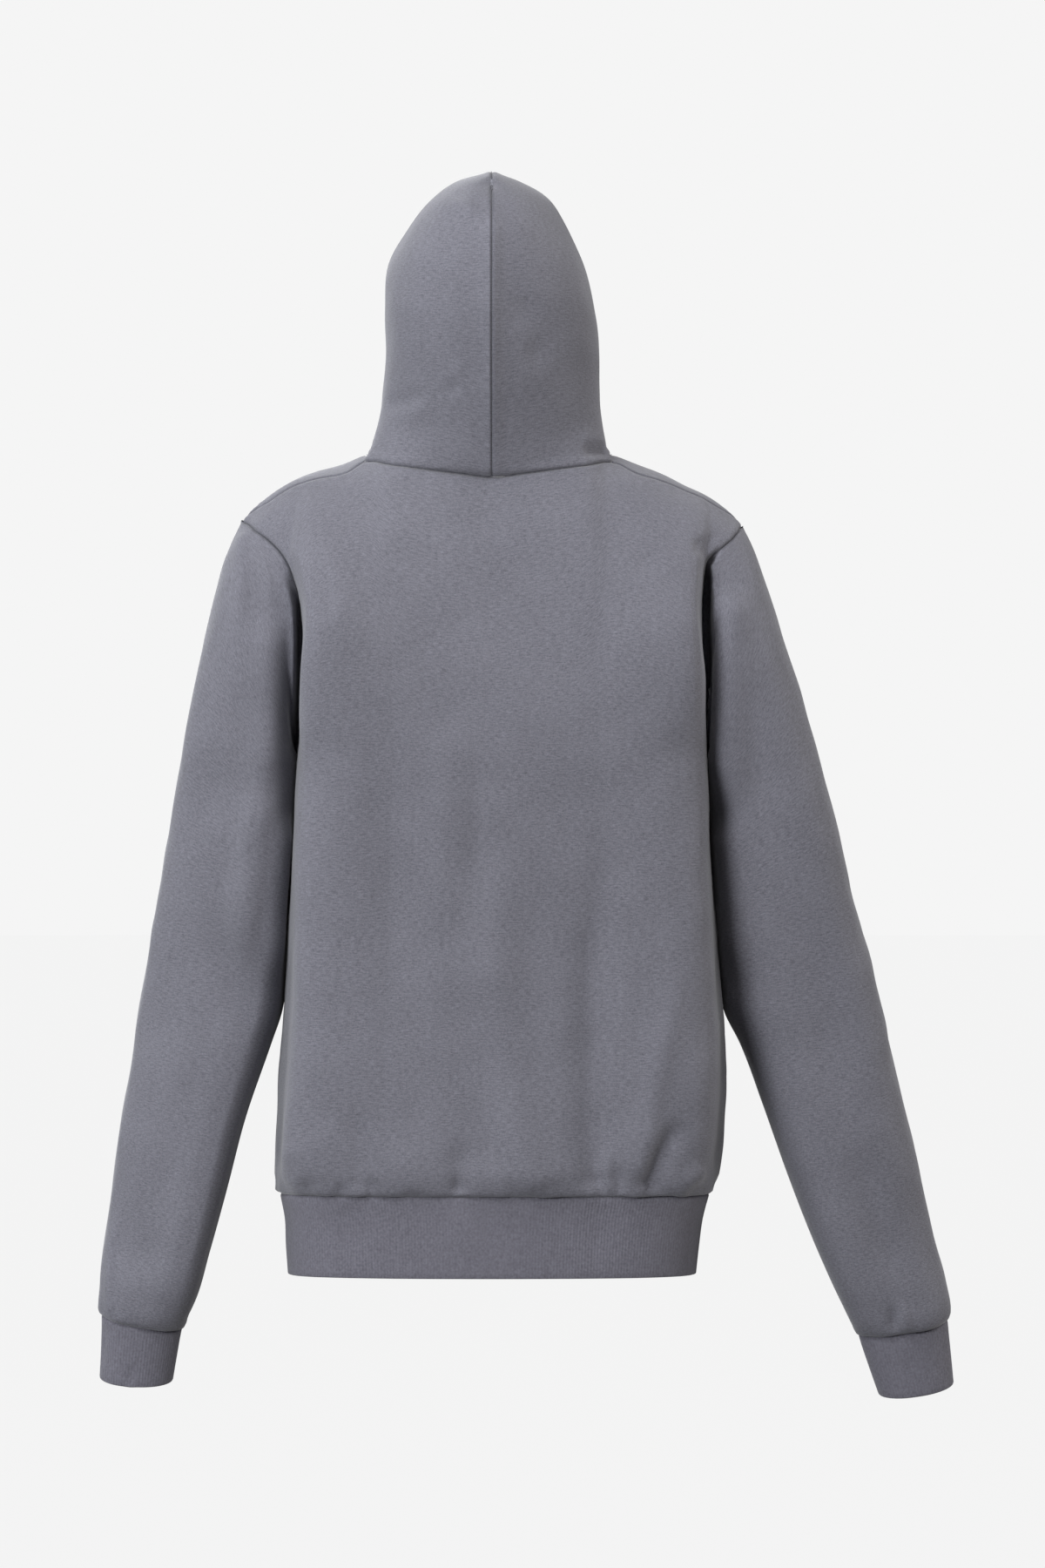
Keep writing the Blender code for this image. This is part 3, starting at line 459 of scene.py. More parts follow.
def evenOut(grid):
    # spreads the lines that crowd together below the neck's corner over the same surface
    number = np.arange(grid[..., 0].size).reshape(grid.shape[:2])
    quads = np.stack([number[:-1, :-1], number[:-1, 1:], number[1:, 1:], number[1:, :-1]], axis=-1)
    surface = BVHTree.FromPolygons(grid.reshape(-1, 3).tolist(), quads.reshape(-1, 4).tolist())
    rows, columns = (np.arange(size, dtype=float) for size in grid.shape[:2])
    free = smooth((rows - chestRow) / evening["rowsIn"])
    free *= smooth((len(rows) - 1 - rows) / evening["rowsOut"])
    across = rampTo(columns, *evening["columns"]) * rampTo(columns, *evening["columnsOut"])
    free = np.outer(free, across)[1:-1, 1:-1, None]
    moved = grid.copy()
    for count in range(1, evening["rounds"] + 1):
        around = (moved[:-2, 1:-1] + moved[2:, 1:-1] + moved[1:-1, :-2] + moved[1:-1, 2:]) / 4
        moved[1:-1, 1:-1] += free * (around - moved[1:-1, 1:-1])
        if count % evening["settled"] == 0:
            for i, j in np.argwhere(free[..., 0] > 0) + 1:
                moved[i, j] = surface.find_nearest(moved[i, j])[0]
    return moved


left, right = bodyHalf(1, False), bodyHalf(-1, False)
coarseBack = np.concatenate([left[:, :0:-1], right], axis=1)
backGrid = fineGrid(coarseBack, bodyRowCuts, columnCuts * 2)
middle = backGrid.shape[1] // 2
grids = {"back": backGrid}
for side, word in ((1, "left"), (-1, "right")):
    coarseFront = bodyHalf(side, True)
    front = fineGrid(coarseFront, bodyRowCuts, columnCuts)
    backSide = backGrid[:, 0 if side > 0 else -1]
    backTopEdge = backGrid[-1, middle::-1] if side > 0 else backGrid[-1, middle:]
    sideTarget = front[:, -1].copy()
    sideTarget[: chestRow + 1] = backSide[: chestRow + 1]
    sewTo(front, "lastColumn", sideTarget)
    topTarget = front[-1].copy()
    topTarget[neckEnd:] = backTopEdge[neckEnd:]
    sewTo(front, "lastRow", topTarget)
    front = evenOut(front)
    grids["front_" + word] = front

    hole = np.concatenate([backSide[chestRow:], front[-2:chestRow:-1, -1]])
    backEdge = 0 if side > 0 else -1
    coarseHole, coarseOut = (
        np.concatenate([onBack[len(levels) :, backEdge], onFront[-2 : len(levels) : -1, -1]])
        for onBack, onFront in (
            (coarseBack, coarseFront),
            (outwardOf(coarseBack, 1), outwardOf(coarseFront, side)),
        )
    )
    away = coarseHole - coarseHole.mean(axis=0)
    away[:, 0] = 0
    mitres = unit(unit(away) + sleeveSizes["mitreOut"] * coarseOut)
    sleeveTable, cuffTable = (leftSleeve, leftCuff) if side > 0 else (rightSleeve, rightCuff)
    count = len(coarseHole)
    steps = sleeveTable["step"]
    flat = np.interp(steps, sleeveSizes["formSteps"], (0, 1, 1, 0))
    tube = [tubeRing(sleeveTable, step, side, count, share) for step, share in zip(steps, flat)]
    rings = np.array([coarseHole, armholeShelf(coarseHole, mitres, tube[0], side), *tube])
    sleeveCuts = stepsFor(np.linalg.norm(np.diff(rings, axis=0), axis=-1).mean(axis=1), spacing["rows"])
    sleeveCuts[: len(spacing["atArmhole"])] = spacing["atArmhole"]
    turnCuts = riseCuts + riseCuts[::-1]
    sleeve = fineGrid(rings, sleeveCuts, turnCuts, closed=True)
    sewTo(sleeve, "firstRow", hole)
    grids["sleeve_" + word] = sleeve

    cuffSteps = np.linspace(0, cuffTable["step"][-1], len(spacing["ribRows"]) + 1)
    cuffRings = np.array([tubeRing(cuffTable, step, side, count) for step in cuffSteps])
    grids["cuff_" + word] = fineGrid(cuffRings, spacing["ribRows"], turnCuts, closed=True)

    neck = bodySizes["neckColumn"]
    half = bodySizes["columns"]
    backNeck = coarseBack[-1, half - side * neck : half : side]
    neckline = np.concatenate([coarseFront[-1, : neck + 1], backNeck[1:], coarseBack[-1, half : half + 1]])
    hoodCoarse = hoodHalf(side, neckline)
    hoodRowCuts = [spacing["hoodRows"]] * (len(hoodCoarse) - 1)
    hood = fineGrid(hoodCoarse, hoodRowCuts, [spacing["columns"]] * (len(neckline) - 1))
    backNeckFine = backGrid[-1, middle - neckEnd : middle + 1]
    if side < 0:
        backNeckFine = backGrid[-1, middle : middle + neckEnd + 1][::-1]
    sewTo(hood, "firstRow", np.concatenate([front[-1, : neckEnd + 1], backNeckFine[1:]]))
    grids["hood_" + word] = hood
bandRows = np.array([bandRing(z) for z in bandLevels])
grids["waistband"] = fineGrid(bandRows, spacing["ribRows"], columnCuts * 4)
for name, grid in grids.items():
    print("grid", name, grid.shape)


# the way out at every point, one common way where pieces meet
facing = {  # the sign of the way out, and whether the rows close on themselves
    "back": (1, False),
    "front_left": (1, False),
    "front_right": (-1, False),
    "sleeve_left": (1, True),
    "sleeve_right": (-1, True),
    "cuff_left": (1, True),
    "cuff_right": (-1, True),
    "hood_left": (1, False),
    "hood_right": (-1, False),
    "waistband": (1, False),
}


samePlace = 0.05 * mm  # points on both sides of a seam count as one when they are this near
keyStep = 100003


def placeKeys(points):
    whole = np.round(points / samePlace).astype(np.int64)
    return (whole[:, 0] * keyStep + whole[:, 1]) * keyStep + whole[:, 2]


def borderOf(grid, closed):
    border = np.zeros(grid.shape[:2], bool)
    border[0] = border[-1] = True
    if not closed:
        border[:, 0] = border[:, -1] = True
    return border


def sharedNormals(pieces):
    normals = {name: outwardOf(grid, *facing[name]) for name, grid in pieces.items()}
    borders = {name: borderOf(grid, facing[name][1]) for name, grid in pieces.items()}
    keys = placeKeys(np.concatenate([pieces[name][borders[name]] for name in pieces]))
    ways = np.concatenate([normals[name][borders[name]] for name in pieces])
    where = np.unique(keys, return_inverse=True)[1].reshape(-1)
    sums = np.zeros((where.max() + 1, 3))
    np.add.at(sums, where, ways)
    shared = unit(sums)[where]
    start = 0
    for name in pieces:
        count = int(borders[name].sum())
        normals[name][borders[name]] = shared[start : start + count]
        start += count
        for edge in sewn[name]:
            lines = linesFrom(normals[name], edge)
            beyond = len(seamShape["extraLines"]) + 1
            for k, share in enumerate(seamShape["extraLines"], 1):
                for end in (0, -1):  # points that the neighbouring piece doesn't have
                    lines[k, end] = unit(lines[0, end] * (1 - share) + lines[beyond, end] * share)
    return normals


# folds: each row is a soft line on the cloth seen square on from one side, in millimetres.
# x0 z0 to x1 z1 with a bow, then width, height (a trough below zero), skew, and how it fades in and out
foldSizes = {
    "facing": 0.42,  # how square on to the sight line the cloth still takes a fold
    "steps": 17,  # points on a fold's line
    "reach": 3,  # widths to each side
}
sights = {"back": (0, 1, 0), "front": (0, -1, 0), "left": (1, 0, 0), "right": (-1, 0, 0)}


def foldField(points, normals, sight, rows):
    flat, ways = points.reshape(-1, 3), normals.reshape(-1, 3)
    seen = smooth((ways @ np.array(sights[sight], float)) / foldSizes["facing"])
    seenAt = flat[:, (1, 2) if sight in ("left", "right") else (0, 2)] * 1000
    moved = np.zeros(len(flat))
    steps = np.linspace(0, 1, foldSizes["steps"])
    for x0, z0, x1, z1, bow, width, height, skew, fadeIn, fadeOut in rows:
        start, run = np.array((x0, z0)), np.array((x1 - x0, z1 - z0))
        side = np.array((-run[1], run[0])) / max(np.hypot(*run), 1e-6)
        line = start + np.outer(steps, run) + np.outer(4 * steps * (1 - steps), side * bow)
        reach = foldSizes["reach"] * width
        low, high = line.min(axis=0) - reach, line.max(axis=0) + reach
        near = np.nonzero((seen > 0) & (seenAt > low).all(axis=1) & (seenAt < high).all(axis=1))[0]
        if not len(near):
            continue
        stretch = np.diff(line, axis=0)
        offset = seenAt[near, None, :] - line[None, :-1]
        t = np.clip((offset * stretch).sum(axis=2) / (stretch**2).sum(axis=1), 0, 1)
        apart = ((offset - t[..., None] * stretch) ** 2).sum(axis=2)
        pick, best = np.arange(len(near)), apart.argmin(axis=1)
        turn = stretch[best, 0] * offset[pick, best, 1] - stretch[best, 1] * offset[pick, best, 0]
        wide = width * (1 + skew * np.sign(turn))
        shape = np.exp(-apart[pick, best] / wide**2)
        way = (best + t[pick, best]) / len(stretch)
        fade = smooth(way / max(fadeIn, 1e-3)) * smooth((1 - way) / max(fadeOut, 1e-3))
        moved[near] += height * shape * fade * seen[near]
    return (moved * mm).reshape(points.shape[:2])


hoodRidges = {
    "height": table("z height", (-20, 3), (20, 7), (60, 12), (120, 16), (180, 13), (205, 5), (220, 0)),
    "steep": {1: 0.15, -1: 0.65},  # one half falls away from the seam more steeply
    "softWidth": 46 * mm,
    "steepWidth": 15 * mm,
    "sunk": 0.4,  # and both lie lower beyond it
    "sunkWidth": 150 * mm,
}


def hoodRidge(grid):
    # the two halves meet at the centre back in a low ridge, softer towards the neck and the crown
    away = awayFrom(grid, "lastColumn")
    sizes = hoodRidges
    steep = np.where(grid[..., 0] < 0, sizes["steep"][-1], sizes["steep"][1])
    height = (1 - steep) * np.exp(-away / sizes["softWidth"]) + steep * np.exp(-away / sizes["steepWidth"])
    height -= sizes["sunk"] * np.exp(-away / sizes["sunkWidth"])
    return np.interp(grid[..., 2] / mm, sizes["height"]["z"], sizes["height"]["height"]) * mm * height


def ripple(points, waves):
    # a slow unevenness that runs through all the cloth: wavelength, height, direction and start of each wave
    moved = np.zeros(points.shape[:2])
    for length, height, dx, dy, dz, start in waves:
        way = np.array((dx, dy, dz)) / math.sqrt(dx * dx + dy * dy + dz * dz)
        moved += height * np.sin(points @ way * (2 * math.pi / length) + start)
    return moved * mm


clothWaves = (
    (0.131, 0.45, 1, 0.3, 0.5, 0.4),
    (0.097, 0.35, -0.6, 0.5, 1, 2.1),
    (0.071, 0.30, 0.9, -0.7, -0.8, 4.0),
    (0.047, 0.16, 0.3, 0.8, 0.9, 1.3),
    (0.033, 0.10, -1, 0.4, 0.35, 5.2),
    (0.023, 0.06, 0.5, -0.9, 0.7, 0.9),
)

folds = {"hood": {}, "body": {}, "sleeves": {}, "cuffs": {}, "band": {}}
folds["hood"]["back"] = [
    (12, 200, 22, 196, 0, 9, 1.2, 0, 0.3, 0.3),
    (30, 70, 24, 66, 0, 6, 1.6, 0, 0.4, 0.4),
    (40, 57, 24, 54, 2, 5, -2.2, 0, 0.4, 0.3),
    (92, 44, 52, 53, 4, 7, -2.6, 0.2, 0.3, 0.4),
    (90, 34, 40, 44, 4, 9, 1.6, 0, 0.3, 0.4),
    (-40, 130, -20, 96, 4, 12, -2.2, 0, 0.4, 0.5),
    (-26, 88, -52, 74, 0, 12, -2.0, 0, 0.4, 0.5),
    (-74, 6, -98, 2, 0, 6, -3.4, 0, 0.4, 0.2),
    (-70, 16, -96, 10, 0, 7, 1.6, 0, 0.4, 0.2),
    (22, 210, 30, 190, 0, 16, 2.0, 0, 0.4, 0.4),
    (60, 150, 74, 60, 4, 16, 1.8, 0, 0.4, 0.4),
    (-64, 150, -72, 60, -4, 16, 1.6, 0, 0.4, 0.4),
]
folds["body"]["back"] = [
    (147, -118, 156, -470, 0, 11, 4.2, 0, 0.2, 0.3),
    (-162, -118, -172, -470, 0, 13, 4.5, 0, 0.2, 0.3),
    (150, -75, 134, -150, -6, 9, -3.0, 0, 0.4, 0.4),
    (-172, -66, -170, -84, 0, 5, -2.4, 0, 0.4, 0.3),
    (-128, -72, -134, -104, 4, 12, -2.6, 0, 0.5, 0.5),
    (90, -190, 66, -500, 5, 22, -5.5, 0, 0.35, 0.4),
    (40, -210, 36, -420, 0, 15, 3.0, 0, 0.4, 0.4),
    (12, -220, 10, -390, 0, 10, -2.2, 0, 0.4, 0.4),
    (0, -420, 2, -600, 0, 26, -4.0, 0, 0.4, 0.2),
    (-18, -300, -36, -609, 22, 20, 6.0, 0, 0.35, 0.05),
    (-92, -300, -88, -609, 6, 17, -7.5, 0, 0.4, 0.05),
    (-160, -400, -118, -600, 4, 13, 5.0, 0, 0.4, 0.1),
    (-160, -545, -130, -604, 4, 9, -7.0, 0, 0.3, 0.05),
    (-176, -584, -150, -606, 2, 7, 4.0, 0, 0.3, 0.1),
    (112, -530, 108, -606, 0, 12, -3.5, 0, 0.4, 0.1),
    (70, -560, 66, -606, 0, 13, 3.0, 0, 0.5, 0.1),
    (26, -556, 25, -609, 0, 11, -4.0, 0, 0.5, 0.02),
    (28, -588, 27, -609, 0, 4, -3.0, 0.3, 0.5, 0.02),
    (-102, -560, -94, -606, 3, 5, 3.6, 0, 0.5, 0.05),
    (-88, -588, -91, -608, 0, 4, -3.0, 0, 0.5, 0.05),
    (-107, -578, -105, -608, 0, 4, -2.8, 0, 0.5, 0.05),
    (122, -597, 125, -609, 0, 4, -3.0, 0, 0.5, 0.02),
    (98, -592, 100, -609, 0, 4, -3.2, 0, 0.5, 0.02),
    (-17, -590, -18, -608, 0, 7, -2.0, 0, 0.5, 0.02),
    (165, -560, 150, -600, 0, 12, 3.0, 0, 0.4, 0.2),
    (60, -60, -70, -78, 6, 14, 1.6, 0, 0.4, 0.4),
    (150, -120, 60, -170, 8, 22, 1.8, 0, 0.4, 0.5),
    (-140, -130, -70, -200, -8, 22, 1.6, 0, 0.4, 0.5),
]
folds["sleeves"]["back"] = [
    (184, -125, 187, -285, 0, 14, 7.0, 0, 0.2, 0.25),
    (186, -255, 211, -440, 0, 15, 7.0, 0, 0.25, 0.3),
    (228, -230, 240, -330, 0, 14, -2.5, 0, 0.4, 0.4),
    (168, -290, 182, -440, 0, 11, 5.5, 0, 0.2, 0.3),
    (-197, -104, -195, -300, 0, 15, 10.0, 0, 0.15, 0.25),
    (-192, -290, -205, -440, 0, 12, 5.0, 0, 0.2, 0.3),
    (204, -60, 207, -170, 2, 6, 2.2, 0, 0.1, 0.6),
    (186, -78, 181, -140, -2, 5, 1.8, 0, 0.3, 0.6),
    (196, -80, 194, -180, 0, 7, -2.0, 0, 0.3, 0.5),
    (222, -360, 196, -500, 4, 15, -5.0, 0, 0.4, 0.4),
    (250, -400, 262, -560, -4, 20, 2.8, 0, 0.4, 0.4),
    (262, -560, 292, -690, 4, 16, -2.6, 0, 0.4, 0.3),
    (-232, -330, -300, -560, -8, 18, -3.0, 0, 0.4, 0.4),
    (-262, -330, -332, -600, -8, 18, 2.6, 0, 0.4, 0.4),
    (-300, -560, -346, -700, 4, 14, -3.0, 0, 0.4, 0.3),
    (311, -620, 315, -712, 3, 4, 2.6, 0, 0.3, 0.1),
    (-331, -700, -334, -722, 0, 4, -3.4, 0.3, 0.5, 0.05),
    (-339, -696, -342, -722, 0, 5, 2.6, 0, 0.5, 0.05),
]
folds["body"]["front"] = [
    (140, -112, 60, -190, -8, 18, -2.4, 0, 0.3, 0.5),
    (-138, -116, -66, -182, 8, 17, -2.2, 0, 0.3, 0.5),
    (150, -190, 92, -330, -8, 20, 2.6, 0, 0.4, 0.4),
    (-152, -205, -96, -362, 8, 20, 2.4, 0, 0.4, 0.4),
    (96, -260, 76, -560, 5, 20, -4.2, 0, 0.35, 0.2),
    (128, -330, 112, -602, -4, 18, 3.8, 0, 0.4, 0.1),
    (52, -400, 44, -606, 0, 14, 2.8, 0, 0.4, 0.1),
    (-84, -300, -70, -600, -5, 19, -4.4, 0, 0.35, 0.15),
    (-118, -280, -132, -602, 4, 18, 3.6, 0, 0.4, 0.1),
    (-46, -430, -40, -606, 0, 13, 2.6, 0, 0.4, 0.1),
    (88, -586, 86, -608, 0, 5, -2.8, 0, 0.5, 0.03),
    (132, -590, 134, -608, 0, 5, -2.4, 0, 0.5, 0.03),
    (-64, -588, -62, -608, 0, 5, -2.6, 0, 0.5, 0.03),
    (-106, -584, -108, -608, 0, 6, -2.8, 0, 0.5, 0.03),
    (-150, -592, -152, -608, 0, 5, -2.2, 0, 0.5, 0.03),
]
folds["body"]["left"] = [
    (34, -340, 24, -600, 3, 14, -3.0, 0, 0.35, 0.1),
    (-14, -480, -24, -604, -3, 14, 2.6, 0, 0.4, 0.1),
    (60, -500, 48, -604, 0, 12, 2.2, 0, 0.4, 0.1),
]
folds["body"]["right"] = [
    (22, -350, 30, -600, -3, 14, -3.0, 0, 0.35, 0.1),
    (-20, -490, -14, -604, 3, 13, 2.4, 0, 0.4, 0.1),
    (58, -480, 66, -604, 0, 12, 2.2, 0, 0.4, 0.1),
]
folds["sleeves"]["front"] = [
    (186, -130, 192, -290, 0, 14, 3.4, 0, 0.2, 0.3),
    (226, -240, 240, -350, 3, 13, -2.6, 0, 0.4, 0.4),
    (216, -370, 198, -480, 4, 14, -3.6, 0, 0.4, 0.4),
    (252, -400, 268, -560, -4, 18, 2.8, 0, 0.4, 0.4),
    (270, -560, 298, -690, 4, 15, -2.6, 0, 0.4, 0.3),
    (-190, -130, -194, -300, 0, 14, 3.2, 0, 0.2, 0.3),
    (-228, -310, -290, -520, -8, 17, -3.0, 0, 0.4, 0.4),
    (-256, -340, -322, -590, -8, 17, 2.6, 0, 0.4, 0.4),
    (-292, -560, -338, -700, 4, 14, -2.8, 0, 0.4, 0.3),
]
folds["sleeves"]["left"] = [
    (24, -130, 30, -300, 3, 16, 2.4, 0, 0.4, 0.4),
    (-30, -338, 30, -370, 4, 12, -1.2, 0, 0.3, 0.3),
    (-26, -384, 34, -420, 5, 12, 1.0, 0, 0.3, 0.3),
    (28, -448, -20, -500, 4, 13, -1.3, 0, 0.4, 0.4),
    (-16, -560, 4, -690, 3, 13, -2.6, 0, 0.4, 0.3),
]
folds["sleeves"]["right"] = [
    (18, -140, 26, -290, 3, 15, 2.4, 0, 0.4, 0.4),
    (32, -352, -28, -380, -4, 12, -1.2, 0, 0.3, 0.3),
    (-24, -408, 30, -436, 4, 12, 1.0, 0, 0.3, 0.3),
    (-22, -470, 24, -520, -4, 13, -1.3, 0, 0.4, 0.4),
    (14, -580, -6, -700, 3, 13, -2.4, 0, 0.4, 0.3),
]
folds["cuffs"]["back"] = [
    (322, -716, 325, -758, 0, 4, -1.6, 0, 0.2, 0.4),
    (299, -750, 299, -768, 0, 4, -1.6, 0, 0.5, 0.1),
    (-331, -722, -334, -738, 0, 4, -1.8, 0, 0.1, 0.5),
]
folds["band"]["back"] = [
    (118, -612, 112, -664, 0, 14, -1.6, 0, 0.2, 0.4),
    (-90, -612, -86, -664, 0, 16, -1.6, 0, 0.2, 0.4),
    (20, -614, 26, -660, 0, 18, 1.2, 0, 0.3, 0.4),
]
groups = {
    "hood": ("hood_left", "hood_right"),
    "body": ("back", "front_left", "front_right"),
    "sleeves": ("sleeve_left", "sleeve_right"),
    "cuffs": ("cuff_left", "cuff_right"),
    "band": ("waistband",),
}
groupOf = {name: group for group, names in groups.items() for name in names}


def refineSeam(grid, edges):
    # extra lines of points close beside a sewn edge, for the cloth that rolls down into the seam
    for edge in edges:
        lines = linesFrom(grid, edge)
        extra = [lines[0] + (lines[1] - lines[0]) * share for share in seamShape["extraLines"]]
        lines = np.concatenate([lines[:1], extra, lines[1:]])
        lines = lines[::-1] if edge.startswith("last") else lines
        grid = lines if edge.endswith("Row") else lines.swapaxes(0, 1)
    return np.ascontiguousarray(grid)


def awayFrom(grid, edge):
    # how far along the cloth every point is from an edge
    lines = linesFrom(grid, edge)
    away = np.zeros(grid.shape[:2])
    linesFrom(away, edge)[1:] = np.cumsum(np.linalg.norm(np.diff(lines, axis=0), axis=-1), axis=0)
    return away


seamShape = {
    "extraLines": (0.12, 0.28, 0.52),  # shares of the first cell beside a seam
    "rollDown": 1.3 * mm,  # how deep the cloth dips into a seam
    "rollWidth": 1.1 * mm,
    "allowance": 0.5 * mm,  # how proud the folded allowance makes one side
    "allowanceAt": 5.0 * mm,
    "allowanceWidth": 3.5 * mm,
    "allowanceFrom": 3.0 * mm,
    "unevenAllowance": 0.25,
    "wall": 2.0 * mm,
    "gap": 0.05 * mm,
    "creaseWidth": 1.2 * mm,  # painted shade: the line in the seam's hollow drawn darker, in place of its shadow
    "creaseOnTop": 1.6 * mm,  # wider where the cloth faces up, from this much of the way to fully up
    "onTop": (0.55, 0.35),
    # how much the painted seam shade takes off the colour
    "creaseShade": 0.42,
}
sewn = {  # the sewn edges, and which of them have the seam's allowance under them
    "back": {"firstRow": 1, "lastRow": 1, "firstColumn": 1, "lastColumn": 1},
    "front_left": {"firstRow": 1, "lastRow": 0, "lastColumn": 0},
    "front_right": {"firstRow": 1, "lastRow": 0, "lastColumn": 0},
    "sleeve_left": {"firstRow": 0, "lastRow": 1},
    "sleeve_right": {"firstRow": 0, "lastRow": 1},
    "cuff_left": {"firstRow": 0},
    "cuff_right": {"firstRow": 0},
    "hood_left": {"firstRow": 1, "lastRow": 1, "lastColumn": 0},
    "hood_right": {"firstRow": 1, "lastRow": 1, "lastColumn": 1},
    "waistband": {"lastRow": 0},
}
for name, edges in sewn.items():
    grids[name] = refineSeam(grids[name], edges)
bases = {name: grid.copy() for name, grid in grids.items()}
normals = sharedNormals(bases)


pinned = {"reach": 9 * mm, "hem": 1.8, "neckColumns": 3}  # the hem lets go sooner


def awayFromArmhole(grid, edge):
    away = awayFrom(grid, edge)
    away[grid[..., 2] < bodySizes["chestZ"] - bodySizes["atChest"]] = 1
    return away


def pinning(name, grid):
    # 0 on the edges that belong to two groups, rising to 1 a little way in
    if groupOf[name] == "body":
        middle, armholes = (grid.shape[1] // 2, 2) if name == "back" else (0, 1)
        top = awayFrom(grid, "lastRow")
        top[:, np.abs(np.arange(grid.shape[1]) - middle) > neckEnd + pinned["neckColumns"]] = 1
        edges = [awayFrom(grid, "firstRow") * pinned["hem"], top]
        edges += [awayFromArmhole(grid, edge) for edge in ("lastColumn", "firstColumn")[:armholes]]
    else:
        held = {"hood": ["firstRow"], "cuffs": ["firstRow"], "band": ["lastRow"]}
        held["sleeves"] = ["firstRow", "lastRow"]
        edges = [awayFrom(grid, edge) for edge in held[groupOf[name]]]
    return np.prod([smooth(away / pinned["reach"]) for away in edges], axis=0)


# beside each armhole the cloth tucks in deep, and the body and the sleeve close over the seam
armholeTucks = {
    ("left", "back"): table(
        "z depth flat rise",
        (-247, 0, 1.0, 5),
        (-238, 8, 1.5, 5),
        (-220, 20, 2.5, 5),
        (-190, 29, 3.5, 5),
        (-160, 32, 4.0, 5),
        (-140, 30, 4.0, 6),
        (-125, 24, 3.0, 7),
        (-110, 12, 1.5, 9),
        (-95, 3, 0.5, 12),
        (-80, 0, 0.5, 12),
    ),
    ("right", "back"): table(
        "z depth flat rise",
        (-247, 0, 1.0, 3),
        (-238, 9, 2.5, 3),
        (-220, 22, 5.0, 3),
        (-190, 32, 7.0, 3),
        (-150, 36, 8.0, 3),
        (-115, 34, 8.0, 3),
        (-98, 26, 6.0, 3),
        (-90, 14, 3.0, 3),
        (-78, 0, 1.0, 4),
    ),
}
armholeTucks["left", "front"] = table(
    "z depth flat rise",
    (-247, 0, 1.0, 6),
    (-232, 8, 1.0, 6),
    (-200, 15, 2.0, 6),
    (-160, 15, 2.0, 6),
    (-125, 8, 1.0, 8),
    (-95, 0, 0.5, 10),
)
armholeTucks["right", "front"] = armholeTucks["left", "front"]
seamSlides = {  # how far the back armhole seam lies outside the panel's even curve
    "left": table(
        "z out",
        *((-247, 0), (-180, 1), (-147, 2), (-125, 3.4), (-103, 5.7)),
        *((-90, 6.8), (-72, 7.2), (-62, 6.5), (-55, 0)),
    ),
    "right": table(
        "z out",
        *((-247, 0), (-112, 0), (-95, -1.5), (-88.6, -2.4), (-81.4, 0.6)),
        *((-76, 4.2), (-69.8, 6.6), (-63, 5), (-57.5, 0)),
    ),
}

tuckSizes = {
    "mostOfDepth": 0.7,  # no deeper than this share of the way to the middle of the body
    "bodyFall": 4.5,  # mm from the seam to where the body's side is flat again
    "bodyFrom": -246.5,
    "slideWidth": 20 * mm,
}


def armholeTuck(name, grid):
    moved = np.zeros(grid.shape)
    isSleeve = name.startswith("sleeve")
    if isSleeve:
        parts = [(half, name.split("_")[1], "firstRow") for half in ("back", "front")]
    elif name == "back":
        parts = [("back", "left", "firstColumn"), ("back", "right", "lastColumn")]
    else:
        parts = [("front", name.split("_")[1], "lastColumn")]
    for half, side, edge in parts:
        # the depth belongs to the seam's own height, which every point takes from its line of points
        seam = linesFrom(grid, edge)[0]
        seam = np.broadcast_to(seam[None] if isSleeve else seam[:, None], grid.shape)
        z, y, away = seam[..., 2] * 1000, seam[..., 1], awayFrom(grid, edge)
        way, columns = 1 if half == "back" else -1, armholeTucks[side, half]
        depth, flat, rise = (np.interp(z, columns["z"], columns[key]) for key in ("depth", "flat", "rise"))
        depth = np.minimum(depth * mm, np.maximum(tuckSizes["mostOfDepth"] * y * way, 0))
        if isSleeve:
            fall = 1 - smooth((away / mm - flat) / rise)
        else:
            fall = 1 - smooth(away / mm / tuckSizes["bodyFall"])
            depth = np.where(z < tuckSizes["bodyFrom"], 0, depth)
        moved[..., 1] -= way * depth * fall
        if half == "back":
            out = np.interp(z, seamSlides[side]["z"], seamSlides[side]["out"]) * np.where(y > 0, mm, 0)
            out *= np.exp(-((away / tuckSizes["slideWidth"]) ** 2))
            moved[..., 0] += (1 if side == "left" else -1) * out
    return moved


underarms = {
    "sleeve": table("z share", (-330, 0), (-290, 0.45), (-262, 1), (-250, 1), (-244, 0.5), (-238, 0)),
    "sleeveMove": 2.8 * mm,
    "sleeveWidth": 34,  # mm to either side of the middle, front to back
    "facing": 0.5,  # how far the cloth has to face sideways: full at this, and on the body from this
    "bodyFacing": 0.75,
    "bodyZ": -257,
    "bodyMove": 1.2 * mm,
    "bodyWidth": (10, 8),
}


def underarm(name, grid, ways):
    # right under the arm the sleeve's inner side and the body's side lean together
    moved, sizes = np.zeros(grid.shape), underarms
    side = -1 if name.endswith("right") else 1
    z, y = grid[..., 2] / mm, grid[..., 1] / mm
    if name.startswith("sleeve"):
        near = np.interp(z, sizes["sleeve"]["z"], sizes["sleeve"]["share"])
        near *= np.exp(-((y / sizes["sleeveWidth"]) ** 4)) * smooth(-side * ways[..., 0] / sizes["facing"])
        moved[..., 0] -= side * sizes["sleeveMove"] * near
    else:
        wide, high = sizes["bodyWidth"]
        near = np.exp(-(((z - sizes["bodyZ"]) / high) ** 2)) * np.exp(-((y / wide) ** 2))
        near *= rampTo(np.abs(ways[..., 0]), sizes["facing"], sizes["bodyFacing"])
        moved[..., 0] += np.sign(grid[..., 0]) * sizes["bodyMove"] * near
    return moved


